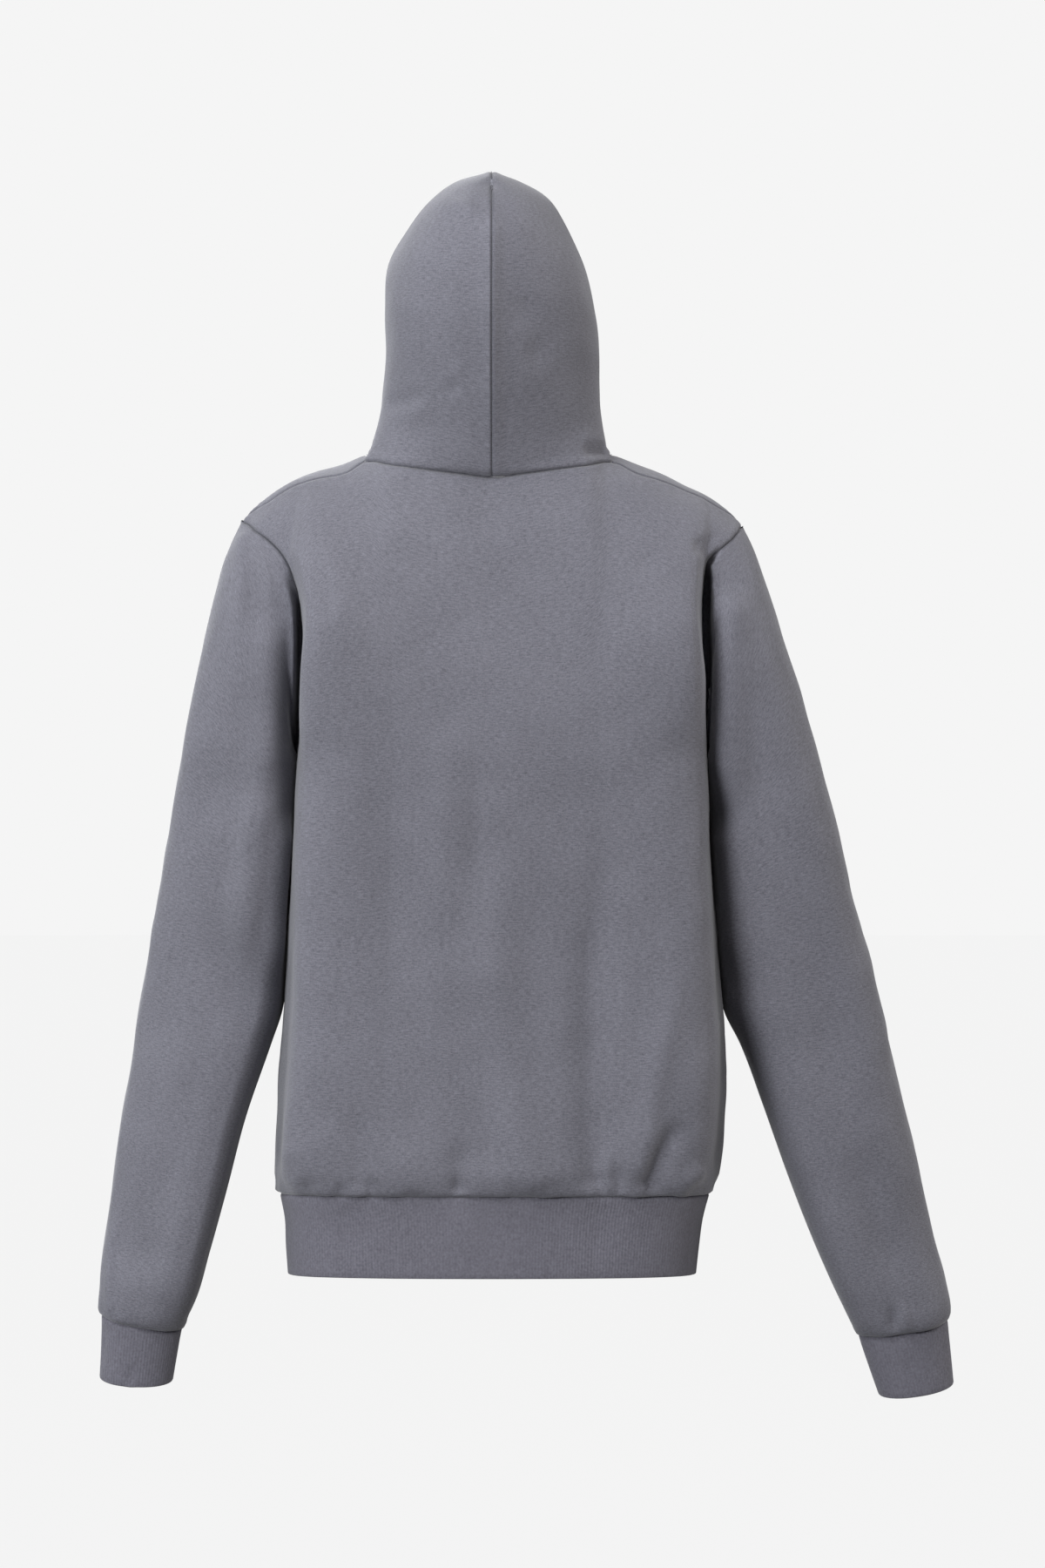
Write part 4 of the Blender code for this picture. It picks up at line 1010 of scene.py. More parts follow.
# with nobody in it the back hangs flatter than a body's: its middle sinks and its sides stand out
flatShape = table(
    "share move",
    *((0, -9), (0.2, -8.5), (0.34, -7), (0.5, -2.5), (0.62, 4.5), (0.72, 12), (0.8, 19)),
    *((0.87, 24), (0.92, 26), (0.95, 24.5), (0.975, 18.5), (0.99, 10), (1, 0), (1.4, 0)),
)
flatRise = table(
    "z amount",
    *((-674, 0.25), (-609, 0.4), (-560, 0.8), (-500, 1), (-140, 1), (-90, 0.6), (-30, 0)),
)
flatSizes = {
    "moreOnRight": 0.15,
    "moreBelow": -0.270,
    "moreOver": 0.08,
    "seamReach": 14 * mm,
}


def flatBack(name, grid):
    z, columns = grid[..., 2], bandTable if name == "waistband" else bodyTable
    left, right = (np.interp(z, columns["z"], columns[key]) for key in ("left", "right"))
    share = np.abs(grid[..., 0]) / np.where(grid[..., 0] > 0, left, right)
    move = np.interp(share, flatShape["share"], flatShape["move"])
    move *= np.interp(z / mm, flatRise["z"], flatRise["amount"])
    more = 1 + flatSizes["moreOnRight"] * smooth((flatSizes["moreBelow"] - z) / flatSizes["moreOver"])
    move = np.where((move > 0) & (grid[..., 0] < 0), more * move, move)
    for edge in ("firstColumn", "lastColumn") if name == "back" else ():
        move *= smooth(awayFromArmhole(grid, edge) / flatSizes["seamReach"])
    return move * mm * (grid[..., 1] > 0)


# the shoulder seams lie a little down the back: the cloth is slid over the shoulder's ridge
shoulderSlide = {
    "far": 11 * mm,
    "reach": 36 * mm,
    "fromX": 0.103,
    "fullX": 0.122,
    "backX": 0.186,
    "toX": 0.205,
}


def slideShoulder(side):
    back, front = shown["back"], shown["front_left" if side > 0 else "front_right"]
    middle, rows = back.shape[1] // 2, len(back)
    sizes = shoulderSlide
    for k in range(neckEnd + 1, front.shape[1]):
        line = np.concatenate([back[:, middle - side * k], front[-2::-1, k]])
        along = runAlong(line)
        x = abs(line[rows - 1, 0])
        amount = rampTo(x, sizes["fromX"], sizes["fullX"]) * rampTo(x, sizes["toX"], sizes["backX"])
        taken = along - sizes["far"] * amount * np.exp(-(((along - along[rows - 1]) / sizes["reach"]) ** 2))
        moved = valuesAt(taken, along, line)
        back[:, middle - side * k] = moved[:rows]
        front[:, k] = moved[: rows - 2 : -1]


zipHolds = {"within": 9 * mm, "eases": 30 * mm}


def besideZip(name, grid):
    # the zip holds the edges sewn to it: 0 there, 1 where the cloth is free
    edges = []
    if name == "waistband":
        edges = ["firstColumn", "lastColumn"]
    elif name.startswith("front"):
        edges = ["firstColumn"]
    held = np.ones(grid.shape[:2])
    for edge in edges:
        held *= smooth((awayFrom(grid, edge) - zipHolds["within"]) / zipHolds["eases"])
    return held


calm = {"innerSleeve": 0.9, "facing": 0.5, "rib": 0.4}  # where the cloth's unevenness is less
shown = {}
for name, grid in bases.items():
    ways, group = normals[name], groupOf[name]
    moved = ripple(grid, clothWaves)
    if group in ("sleeves", "cuffs"):
        side = 1 if name.endswith("left") else -1
        moved *= 1 - calm["innerSleeve"] * smooth(-side * ways[..., 0] / calm["facing"])
    if group in ("band", "cuffs"):
        moved *= calm["rib"]
    for sight, rows in folds[group].items():
        if group == "sleeves" and sight in ("left", "right") and not name.endswith(sight):
            continue
        moved += foldField(grid, ways, sight, rows)
    if group == "hood":
        moved += hoodRidge(grid)
    moved *= besideZip(name, grid)
    shown[name] = grid + ways * (moved * pinning(name, grid))[..., None]
    if name in ("back", "waistband"):
        shown[name][..., 1] += flatBack(name, grid)
    if group in ("body", "sleeves"):
        shown[name] += armholeTuck(name, grid) + underarm(name, grid, ways)
for side in (1, -1):
    slideShoulder(side)
print("cloth folded")

# the seams: the cloth dips into them, is proud over the allowance, and hangs fuller over the ribs
overhang = {
    "body": ("firstRow", 2.2 * mm),
    "sleeves": ("lastRow", 1.8 * mm),
    "from": 4 * mm,
    "falls": 14 * mm,
    "waves": ((0.5, (83.0, 61.0, 0)), (0.4, (-197.0, 113.0, 0))),
}
allowanceWaves = ((311.0, 173.0, 263.0), (-127.0, 211.0, 97.0))
normals = sharedNormals(shown)
for name, grid in shown.items():
    sink = np.zeros(grid.shape[:2])
    for edge, allowance in sewn[name].items():
        away = awayFrom(grid, edge)
        sink -= seamShape["rollDown"] * np.exp(-((away / seamShape["rollWidth"]) ** 2))
        if allowance:
            along = sum(np.sin(grid @ np.array(wave)) for wave in allowanceWaves)
            rise = seamShape["allowance"] * (1 + seamShape["unevenAllowance"] * along)
            bump = np.exp(-(((away - seamShape["allowanceAt"]) / seamShape["allowanceWidth"]) ** 2))
            sink += rise * bump * smooth(away / seamShape["allowanceFrom"])
    if groupOf[name] in overhang:
        edge, most = overhang[groupOf[name]]
        away = awayFrom(grid, edge)
        uneven = 1 + sum(share * np.sin(grid @ np.array(wave)) for share, wave in overhang["waves"])
        hang = most * uneven * smooth(away / overhang["from"]) * np.exp(-away / overhang["falls"])
        sink += hang * besideZip(name, grid)
    shown[name] = grid + normals[name] * np.maximum(sink, -seamShape["rollDown"])[..., None]
normals = sharedNormals(shown)
print("seams rolled")

# knitted ribs stand up as real ridges, drawn 2.6 mm apart where real ones are nearer 2, so that they show
ribKnit = {"pitch": 2.6 * mm, "height": 0.07 * mm, "pointsPerRib": 6}


def closeUp(grid, closed):
    # a tube's grid with its first column again at its end
    return np.concatenate([grid, grid[:, :1]], axis=1) if closed else grid


def ribbed(grid, ways, closed):
    grid, ways = closeUp(grid, closed), closeUp(ways, closed)
    length = runAlong(grid[len(grid) // 2])
    count = round(length[-1] / ribKnit["pitch"]) * ribKnit["pointsPerRib"]
    at = np.interp(np.linspace(0, length[-1], count + 1), length, np.arange(len(length)))
    low = np.minimum(at.astype(int), len(length) - 2)
    share = (at - low)[None, :, None]
    fine = grid[:, low] * (1 - share) + grid[:, low + 1] * share
    out = unit(ways[:, low] * (1 - share) + ways[:, low + 1] * share)
    ridge = np.cos(2 * math.pi * np.arange(count + 1) / ribKnit["pointsPerRib"])
    fine = fine + out * (ribKnit["height"] * ridge)[None, :, None]
    if closed:
        fine, out = fine[:, :-1], out[:, :-1]
    return fine, out


def quadsOf(grid):
    # the four corners of every cell
    cells = np.stack([grid[:-1, :-1], grid[:-1, 1:], grid[1:, 1:], grid[1:, :-1]], axis=2)
    return cells.reshape(-1, 4, *grid.shape[2:])


def clothPiece(name, points, faces, places, finish, crease):
    mesh = bpy.data.meshes.new(name)
    mesh.from_pydata(points.tolist(), [], faces)
    # the painted seam shade is stored on the mesh as a value on every outer point
    shade = mesh.attributes.new("crease", "FLOAT", "POINT")
    shade.data.foreach_set("value", np.pad(crease.ravel(), (0, len(points) - crease.size)))
    layerUv = mesh.uv_layers.new(name="cloth")
    layerUv.data.foreach_set("uv", np.array(places, np.float32).ravel())
    mesh.polygons.foreach_set("material_index", finish)
    mesh.polygons.foreach_set("use_smooth", [True] * len(faces))
    shape = bmesh.new()
    shape.from_mesh(mesh)
    bmesh.ops.recalc_face_normals(shape, faces=shape.faces)
    if shape.calc_volume(signed=True) < 0:
        bmesh.ops.reverse_faces(shape, faces=shape.faces)
    openEdges = sum(1 for e in shape.edges if not e.is_manifold)
    shape.to_mesh(mesh)
    shape.free()
    made = bpy.data.objects.new(name + "Cloth", mesh)
    bpy.context.scene.collection.objects.link(made)
    print(name, "cloth:", len(faces), "faces,", openEdges, "open edges")
    return made


rimAngles = (45, 90, 135)  # a free edge is rounded in these turns from its outer face to its inner


def shellMesh(name, outer, ways, sewnEdges, closed, wall):
    # the outer and inner faces, flat rims in the seams and rounded ones on the free edges
    rows, columns = outer.shape[:2]
    layer = rows * columns
    inner = (outer - ways * wall).reshape(-1, 3)
    outer = outer.copy()
    flatOuter = outer.reshape(-1, 3)  # the same points in one list
    points, total = [flatOuter, inner], 2 * layer
    number = closeUp(np.arange(layer).reshape(rows, columns), closed)
    # flat places on the cut cloth, from the mean length of its rows and of its columns
    steps = (np.linalg.norm(np.diff(closeUp(outer, closed), axis=1), axis=2).mean(axis=0),
             np.linalg.norm(np.diff(outer, axis=0), axis=2).mean(axis=1))
    place = np.stack(np.meshgrid(*(np.insert(np.cumsum(a), 0, 0) for a in steps)), axis=-1)
    quads, quadPlaces = quadsOf(number), quadsOf(place)
    faces = quads.tolist() + (quads[:, ::-1] + layer).tolist()
    places = np.concatenate([quadPlaces, quadPlaces[:, ::-1]]).reshape(-1, 2).tolist()
    finish = [0] * len(quads) + [1] * len(quads)
    for edge in ("firstRow", "lastRow") if closed else ("firstRow", "lastRow", "lastColumn", "firstColumn"):
        # every edge is walked with the cloth on the same hand
        back = edge in ("lastRow", "firstColumn")
        line, linePlace = linesFrom(number, edge)[0], linesFrom(place, edge)[0]
        nextLine = linesFrom(outer, edge)[1]
        if back:
            line, linePlace, nextLine = line[::-1], linePlace[::-1], nextLine[::-1]
        if back and closed:
            nextLine = np.roll(nextLine, 1, axis=0)
        ring = line[:-1] if closed else line
        outerLine, innerLine = flatOuter[ring], inner[ring]
        away = unit(outerLine - nextLine)
        if edge in sewnEdges:
            flatOuter[ring] -= away * seamShape["gap"]
            loops = [ring, ring + layer]
        else:
            half = (outerLine - innerLine) / 2
            loops = [ring]
            for turn in np.radians(rimAngles):
                bulge = away * (np.linalg.norm(half, axis=1, keepdims=True) * math.sin(turn))
                points.append((outerLine + innerLine) / 2 + half * math.cos(turn) + bulge)
                loops.append(np.arange(total, total + len(ring)))
                total += len(ring)
            loops.append(ring + layer)
            for end, flip in () if closed else ((0, 1), (-1, -1)):
                faces.append([int(loop[end]) for loop in loops][::flip])
                places += [linePlace[end].tolist()] * len(loops)
        for upper, lower in zip(loops[:-1], loops[1:]):
            a, b = (np.append(loop, loop[:1]) if closed else loop for loop in (upper, lower))
            faces += np.stack([a[1:], a[:-1], b[:-1], b[1:]], axis=1).tolist()
            for i in range(len(a) - 1):
                places += [linePlace[j].tolist() for j in (i + 1, i, i, i + 1)]
    finish += [0] * (len(faces) - len(finish))
    # painted shade along the sewn edges, fading away from them and wider where the cloth faces up
    start, over = seamShape["onTop"]
    wide = seamShape["creaseWidth"] + seamShape["creaseOnTop"] * smooth((ways[..., 2] - start) / over)
    crease = np.zeros((rows, columns))
    for edge in sewnEdges:
        crease = np.maximum(crease, np.exp(-((awayFrom(outer, edge) / wide) ** 2)))
    return clothPiece(name, np.concatenate(points), faces, places, finish, crease)


pieces = {}
for name, grid in shown.items():
    ways, closed = normals[name], facing[name][1]
    if groupOf[name] in ("band", "cuffs"):
        grid, ways = ribbed(grid, ways, closed)
    pieces[name] = shellMesh(name, grid, ways, sewn[name], closed, seamShape["wall"])
    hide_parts(name)
    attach(pieces[name], "garment")


# colours and materials
def hexColour(code):
    parts = [int(code[i : i + 2], 16) / 255 for i in (1, 3, 5)]
    return [c / 12.92 if c <= 0.04045 else ((c + 0.055) / 1.055) ** 2.4 for c in parts] + [1.0]


def addNode(tree, kind, inputs=None, stops=(), **settings):
    # a node with its settings, its links and values, and the places and colours on a ramp
    node = tree.nodes.new("ShaderNode" + kind)
    for name, value in settings.items():
        setattr(node, name, value)
    for name, value in (inputs or {}).items():
        if isinstance(value, bpy.types.NodeSocket):
            tree.links.new(value, node.inputs[name])
        else:
            node.inputs[name].default_value = value
    for k, (position, colour) in enumerate(stops):
        node.color_ramp.elements[k].position = position
        node.color_ramp.elements[k].color = hexColour(colour)
    return node


def newMaterial(name, roughness, metallic=0.0, **constants):
    made = bpy.data.materials.new(name)
    made.use_nodes = True
    shader = made.node_tree.nodes["Principled BSDF"]
    shader.inputs["Roughness"].default_value = roughness
    shader.inputs["Metallic"].default_value = metallic
    for socket, value in constants.items():
        shader.inputs[socket.replace("_", " ")].default_value = value
    return made, made.node_tree, shader


fleece = {
    "stops": ((0.40, "#5e5d64"), (0.90, "#807f88")),
    "streakAcross": 5.0 * mm,  # along the knitted rows
    "streakDown": 1.1 * mm,
    "patch": 35.714 * mm,
    "fuzz": 1.1111 * mm,  # the fibres are drawn coarser than real ones, so that they show
    "shares": {"patch": 0.12, "streak": 0.75, "fuzz": 0.55},
    "look": {"Specular_IOR_Level": 0.12, "Sheen_Weight": 0.35, "Sheen_Roughness": 0.45},
    "bump": {"Strength": 0.35, "Distance": 0.6 * mm},
}


def fleeceJersey():
    # cotton and polyester sweatshirt fleece, plain side out: a matt, faintly streaked melange with a fuzz
    made, tree, shader = newMaterial("fleeceJersey", 0.95, **fleece["look"])
    cloth = addNode(tree, "UVMap", uv_map="cloth").outputs[0]
    place = addNode(tree, "TexCoord").outputs["Object"]
    stretch = (1 / fleece["streakAcross"], 1 / fleece["streakDown"], 1)
    rows = addNode(tree, "Mapping", {"Vector": cloth, "Scale": stretch}).outputs[0]
    patterns = {
        "patch": {"Vector": place, "Scale": 1 / fleece["patch"], "Detail": 1.0},
        "streak": {"Vector": rows, "Scale": 1.0, "Detail": 2.0},
        "fuzz": {"Vector": place, "Scale": 1 / fleece["fuzz"], "Detail": 1.0},
    }
    amount = -fleece["shares"]["patch"] / 2
    for name, pattern in patterns.items():
        pattern = addNode(tree, "TexNoise", pattern).outputs[0]
        sums = {0: pattern, 1: fleece["shares"][name], 2: amount}
        amount = addNode(tree, "Math", sums, operation="MULTIPLY_ADD").outputs[0]
    colour = addNode(tree, "ValToRGB", {"Fac": amount}, fleece["stops"]).outputs[0]
    # painted shade: the colour is darkened along the seams, in place of the shadow in their hollows
    crease = addNode(tree, "Attribute", attribute_name="crease").outputs["Fac"]
    dim = {0: crease, 1: -seamShape["creaseShade"], 2: 1.0}
    dim = addNode(tree, "Math", dim, operation="MULTIPLY_ADD").outputs[0]
    seen = addNode(tree, "VectorMath", {0: colour, 3: dim}, operation="SCALE").outputs[0]
    bump = addNode(tree, "Bump", {"Height": amount, **fleece["bump"]}).outputs[0]
    tree.links.new(seen, shader.inputs["Base Color"])
    tree.links.new(bump, shader.inputs["Normal"])
    return made


brushed = {
    "stops": ((0.35, "#7a7a83"), (0.70, "#8a8a93")),
    "tuft": 2.381 * mm,
    "look": {"Specular_IOR_Level": 0.15, "Sheen_Weight": 0.4, "Sheen_Roughness": 0.6},
    "bump": {"Strength": 0.6, "Distance": 1.2 * mm},
}


def brushedInside():
    # the brushed back of the same fleece: paler, matt and woolly
    made, tree, shader = newMaterial("brushedFleeceInside", 0.96, **brushed["look"])
    place = addNode(tree, "TexCoord").outputs["Object"]
    tufts = {"Vector": place, "Scale": 1 / brushed["tuft"], "Detail": 4.0}
    tufts = addNode(tree, "TexNoise", tufts).outputs[0]
    colour = addNode(tree, "ValToRGB", {"Fac": tufts}, brushed["stops"]).outputs[0]
    bump = addNode(tree, "Bump", {"Height": tufts, **brushed["bump"]}).outputs[0]
    tree.links.new(colour, shader.inputs["Base Color"])
    tree.links.new(bump, shader.inputs["Normal"])
    return made


ribYarn = {
    "stops": ((0.25, "#57555d"), (1.0, "#7b7983")),
    "yarn": 1.9231 * mm,
    "groove": (0.05, 0.16),  # painted shade: half the step in colour from groove to ridge, and what is added to both
    "look": {"Specular_IOR_Level": 0.2, "Sheen_Weight": 0.2, "Sheen_Roughness": 0.5},
    "bump": {"Strength": 0.3, "Distance": 0.5 * mm},
}


def ribKnitYarn():
    # one by one rib in the same yarn: matt ridges, with the grooves between them made slightly darker by
    # painted shade
    made, tree, shader = newMaterial("ribKnit", 0.92, **ribYarn["look"])
    cloth = addNode(tree, "UVMap", uv_map="cloth").outputs[0]
    across = addNode(tree, "SeparateXYZ", {0: cloth}).outputs[0]
    # painted shade: a wave across the ribs darkens the colour in the grooves
    turn = {0: across, 1: 2 * math.pi / ribKnit["pitch"]}
    turn = addNode(tree, "Math", turn, operation="MULTIPLY").outputs[0]
    ridge = addNode(tree, "Math", {0: turn}, operation="COSINE").outputs[0]
    step, more = ribYarn["groove"]
    ridge = addNode(tree, "Math", {0: ridge, 1: step, 2: more}, operation="MULTIPLY_ADD").outputs[0]
    place = addNode(tree, "TexCoord").outputs["Object"]
    yarn = {"Vector": place, "Scale": 1 / ribYarn["yarn"], "Detail": 2.0}
    yarn = addNode(tree, "TexNoise", yarn).outputs[0]
    amount = addNode(tree, "Math", {0: yarn, 1: ridge}, operation="ADD").outputs[0]
    colour = addNode(tree, "ValToRGB", {"Fac": amount}, ribYarn["stops"]).outputs[0]
    bump = addNode(tree, "Bump", {"Height": yarn, **ribYarn["bump"]}).outputs[0]
    tree.links.new(colour, shader.inputs["Base Color"])
    tree.links.new(bump, shader.inputs["Normal"])
    return made


jersey, inside, rib = fleeceJersey(), brushedInside(), ribKnitYarn()
for name, piece in pieces.items():
    ribPiece = groupOf[name] in ("band", "cuffs")
    piece.data.materials.append(rib if ribPiece else jersey)
    piece.data.materials.append(rib if ribPiece else inside)
print("materials made")

# the zip: metal teeth on two woven tapes, a slider with a hanging pull, stops above and a box below
zipSizes = {
    "toothPitch": 2.5 * mm,
    "tooth": (3.75 * mm, 1.12 * mm, 2.3 * mm),  # across the zip, along it, and from its back to its front
    "toothDepth": 3.0 * mm,  # its middle, inward from the cloth's outer face
    "toothReach": 0.95 * mm,  # how far a tooth's head passes the middle
    "tapeFrom": 2.6 * mm,
    "tapeTo": 17.0 * mm,
    "tapeDepth": 3.0 * mm,
    "tapeThick": 0.9 * mm,
    "beadThick": 1.5 * mm,  # the cord woven into the edge that carries the teeth
    "topDrop": 4.0 * mm,
    "boxLength": 10.0 * mm,
    "stopLength": 4.0 * mm,
    "sliderLength": 11.0 * mm,
    "pinShare": 0.62,  # how far up the slider its pin is
    "teethGap": 0.9 * mm,  # from the box to the first tooth and from the last to the slider
    "stopGap": 0.3 * mm,
    "reach": 4.0 * mm,  # the zip's direction is taken this far to both sides
    "tapeSteps": 150,
    "bead": (0.4 * mm, 1.6 * mm, 2.2 * mm),  # the cord is full from and to, and the flat band starts
    "pullLength": 26.0 * mm,
    "pullHalfWidth": 3.4 * mm,
    "pullThick": 1.4 * mm,
}
hardLine = np.concatenate([bandRows[:-1, 0, 1:], bodyHalf(1, True)[:, 0, 1:]])
softLine = np.concatenate([bases["waistband"][:-1, 0, 1:], bases["front_left"][:, 0, 1:]])


def zipPlace(line, distance):
    # the middle of the zip at a distance from its lower end, with the ways up and out there
    lengths, reach = runAlong(line), zipSizes["reach"]
    ends = np.clip((distance - reach, distance, distance + reach), 0, lengths[-1])
    low, here, high = (np.array([np.interp(end, lengths, line[:, k]) for k in (0, 1)]) for end in ends)
    up = unit(high - low)
    return np.array((0, *here)), np.array((0, *up)), np.array((0, -up[1], up[0])), lengths[-1]


def sliderFoot(length):
    # where the lower end of the slider is on a closed zip of a length
    top = length - zipSizes["topDrop"] - zipSizes["stopLength"] - zipSizes["stopGap"]
    return top - zipSizes["sliderLength"]


zipLength = zipPlace(softLine, 0)[3]


def clearSelection():
    if bpy.context.object and bpy.context.object.mode != "OBJECT":
        bpy.ops.object.mode_set(mode="OBJECT")
    bpy.ops.object.select_all(action="DESELECT")


def activate(piece):
    clearSelection()
    piece.select_set(True)
    bpy.context.view_layer.objects.active = piece


def startBox(name, size, middle=(0, 0, 0)):
    clearSelection()
    bpy.ops.mesh.primitive_cube_add(size=1, location=middle)
    made = bpy.context.object
    made.name = name
    made.scale = size
    bpy.ops.object.transform_apply(location=True, rotation=True, scale=True)
    return made


def startRod(name, radius, length, middle=(0, 0, 0), sides=24, across=False):
    clearSelection()
    bpy.ops.mesh.primitive_cylinder_add(vertices=sides, radius=radius, depth=length, location=middle)
    made = bpy.context.object
    made.name = name
    if across:
        made.rotation_euler = (0, math.pi / 2, 0)
    bpy.ops.object.transform_apply(location=True, rotation=True, scale=True)
    return made


def selectFaces(piece, wanted):
    # into edit mode with only the faces whose middle and normal are wanted
    activate(piece)
    bpy.ops.object.mode_set(mode="EDIT")
    bpy.ops.mesh.select_mode(type="FACE")
    bpy.ops.mesh.select_all(action="DESELECT")
    shape = bmesh.from_edit_mesh(piece.data)
    for face in shape.faces:
        face.select_set(bool(wanted(face.calc_center_median(), face.normal)))
    bmesh.update_edit_mesh(piece.data)


def leaveEdit():
    bpy.ops.object.mode_set(mode="OBJECT")


def softenEdges(piece, width, segments=1, angle=30):
    activate(piece)
    bevel = piece.modifiers.new("edges", "BEVEL")
    bevel.width = width
    bevel.segments = segments
    bevel.limit_method = "ANGLE"
    bevel.angle_limit = math.radians(angle)
    bpy.ops.object.modifier_apply(modifier=bevel.name)


def combine(piece, tool, operation):
    activate(piece)
    step = piece.modifiers.new("combine", "BOOLEAN")
    step.operation = operation
    step.object = tool
    step.solver = "EXACT"
    bpy.ops.object.modifier_apply(modifier=step.name)
    bpy.data.objects.remove(tool, do_unlink=True)


def smoothShade(piece, angle=35):
    activate(piece)
    bpy.ops.object.shade_smooth_by_angle(angle=math.radians(angle))


def setInPlace(piece, middle, up, out):
    # from the bench, where X is across, Y up and Z out, to its place on the front
    across = np.cross(up, out)
    turn = np.stack([across, up, out], axis=1)
    points = np.array([v.co for v in piece.data.vertices]) @ turn.T + np.array(middle)
    piece.data.vertices.foreach_set("co", points.astype(np.float32).ravel())
    piece.data.update()


def copiesMesh(name, model, frames):
    # one mesh of copies of a model, each with its own middle, across, up and out
    points = np.array([v.co for v in model.data.vertices])
    faces = [list(face.vertices) for face in model.data.polygons]
    allPoints, allFaces = [], []
    for k, (middle, across, up, out) in enumerate(frames):
        turn = np.stack([across, up, out], axis=1)
        allPoints.append(points @ turn.T + middle)
        flip = -1 if np.linalg.det(turn) < 0 else 1
        allFaces += [[i + k * len(points) for i in face][::flip] for face in faces]
    mesh = bpy.data.meshes.new(name)
    mesh.from_pydata(np.concatenate(allPoints).tolist(), [], allFaces)
    made = bpy.data.objects.new(name, mesh)
    scene.collection.objects.link(made)
    bpy.data.objects.remove(model, do_unlink=True)
    return made


scene = bpy.context.scene
across = np.array((1.0, 0, 0))

# one tooth: a bar with a narrower, thinner head that locks between the teeth opposite
toothSizes = {
    "head": (1, 0.8, 0.72),  # its head against its foot
    "soft": 0.22 * mm,
}
tooth = startBox("tooth", zipSizes["tooth"])
selectFaces(tooth, lambda middle, way: way.x > 0.9)
bpy.ops.transform.resize(value=toothSizes["head"], center_override=(zipSizes["tooth"][0] / 2, 0, 0))
leaveEdit()
softenEdges(tooth, toothSizes["soft"])
frames = []
firstTooth = zipSizes["boxLength"] + zipSizes["teethGap"]
teethRun = sliderFoot(zipLength) - zipSizes["teethGap"] - firstTooth
count = int(teethRun / (zipSizes["toothPitch"] / 2))
for k in range(count + 1):
    middle, up, out, _ = zipPlace(softLine, firstTooth + k * zipSizes["toothPitch"] / 2)
    side = 1 if k % 2 else -1
    offset = zipSizes["tooth"][0] / 2 - zipSizes["toothReach"]
    place = middle - across * side * offset - out * zipSizes["toothDepth"]
    frames.append((place, across * side, up, out))
zipTeeth = copiesMesh("zipTeeth", tooth, frames)
smoothShade(zipTeeth)
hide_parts("zip_chain")
print("zip teeth:", len(frames))

# tapes: a flat woven band with a thicker edge
zipTapes = {}
for side, word in ((1, "left"), (-1, "right")):
    x0, x1 = zipSizes["tapeFrom"], zipSizes["tapeTo"]
    thin, thick = zipSizes["tapeThick"] / 2, zipSizes["beadThick"] / 2
    beadFrom, beadTo, flatFrom = (x0 + x for x in zipSizes["bead"])
    half = [(x1, thin), (flatFrom, thin), (beadTo, thick), (beadFrom, thick), (x0, 0.4 * thick)]
    outline = half + [(x, -up) for x, up in reversed(half)]
    lineSteps = np.linspace(0.5 * mm, zipLength - zipSizes["topDrop"], zipSizes["tapeSteps"])
    points, places = [], []
    for distance in lineSteps:
        middle, up, out, _ = zipPlace(softLine, distance)
        for x, rise in outline:
            points.append(middle + across * side * x + out * (rise - zipSizes["tapeDepth"]))
            places.append((x, distance))
    n = len(outline)
    faces = [list(range(n)), list(range(len(points) - n, len(points)))[::-1]]
    for k in range(len(lineSteps) - 1):
        faces += [[k * n + i, k * n + n + i, k * n + n + (i + 1) % n, k * n + (i + 1) % n] for i in range(n)]
    mesh = bpy.data.meshes.new("zipTape_" + word)
    mesh.from_pydata([p.tolist() for p in points], [], faces)
    cloth = mesh.uv_layers.new(name="cloth")
    for loop in mesh.loops:
        cloth.data[loop.index].uv = places[loop.vertex_index]
    shape = bmesh.new()
    shape.from_mesh(mesh)
    bmesh.ops.recalc_face_normals(shape, faces=shape.faces)
    shape.to_mesh(mesh)
    shape.free()
    made = bpy.data.objects.new("zipTape_" + word, mesh)
    scene.collection.objects.link(made)
    smoothShade(made)
    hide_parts("zip_tape_" + word)
    zipTapes[word] = made

# stops and box, bevelled blocks clamped on the tapes
stopSizes = {
    "size": (2.7 * mm, zipSizes["stopLength"] - 0.3 * mm, 2.4 * mm),
    "soft": 0.45 * mm,
    "toSide": 1.52 * mm,
}
stopParts = []
for side, word in ((1, "left"), (-1, "right")):
    stop = startBox("zipStop_" + word, stopSizes["size"])
    softenEdges(stop, stopSizes["soft"], 2)
    middle, up, out, _ = zipPlace(softLine, zipLength - zipSizes["topDrop"] - zipSizes["stopLength"] / 2)
    middle = middle + across * side * stopSizes["toSide"] - out * zipSizes["toothDepth"]
    setInPlace(stop, middle, up, out)
    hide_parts("zip_stop_" + word)
    smoothShade(stop)
    stopParts.append(stop)
boxSizes = {
    "size": (8.4 * mm, zipSizes["boxLength"], 2.6 * mm),
    "rim": 1.1 * mm,  # round a sunken field on its front
    "sunk": 0.35 * mm,
    "soft": 0.35 * mm,
    "depth": 2.3 * mm,
}
zipBox = startBox("zipBox", boxSizes["size"])
selectFaces(zipBox, lambda middle, way: way.z > 0.9)
bpy.ops.mesh.inset(thickness=boxSizes["rim"], depth=0.0)
bpy.ops.transform.translate(value=(0, 0, -boxSizes["sunk"]))
leaveEdit()
softenEdges(zipBox, boxSizes["soft"], 2)
middle, up, out, _ = zipPlace(softLine, zipSizes["boxLength"] / 2)
setInPlace(zipBox, middle - out * boxSizes["depth"], up, out)
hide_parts("zip_box")
smoothShade(zipBox)

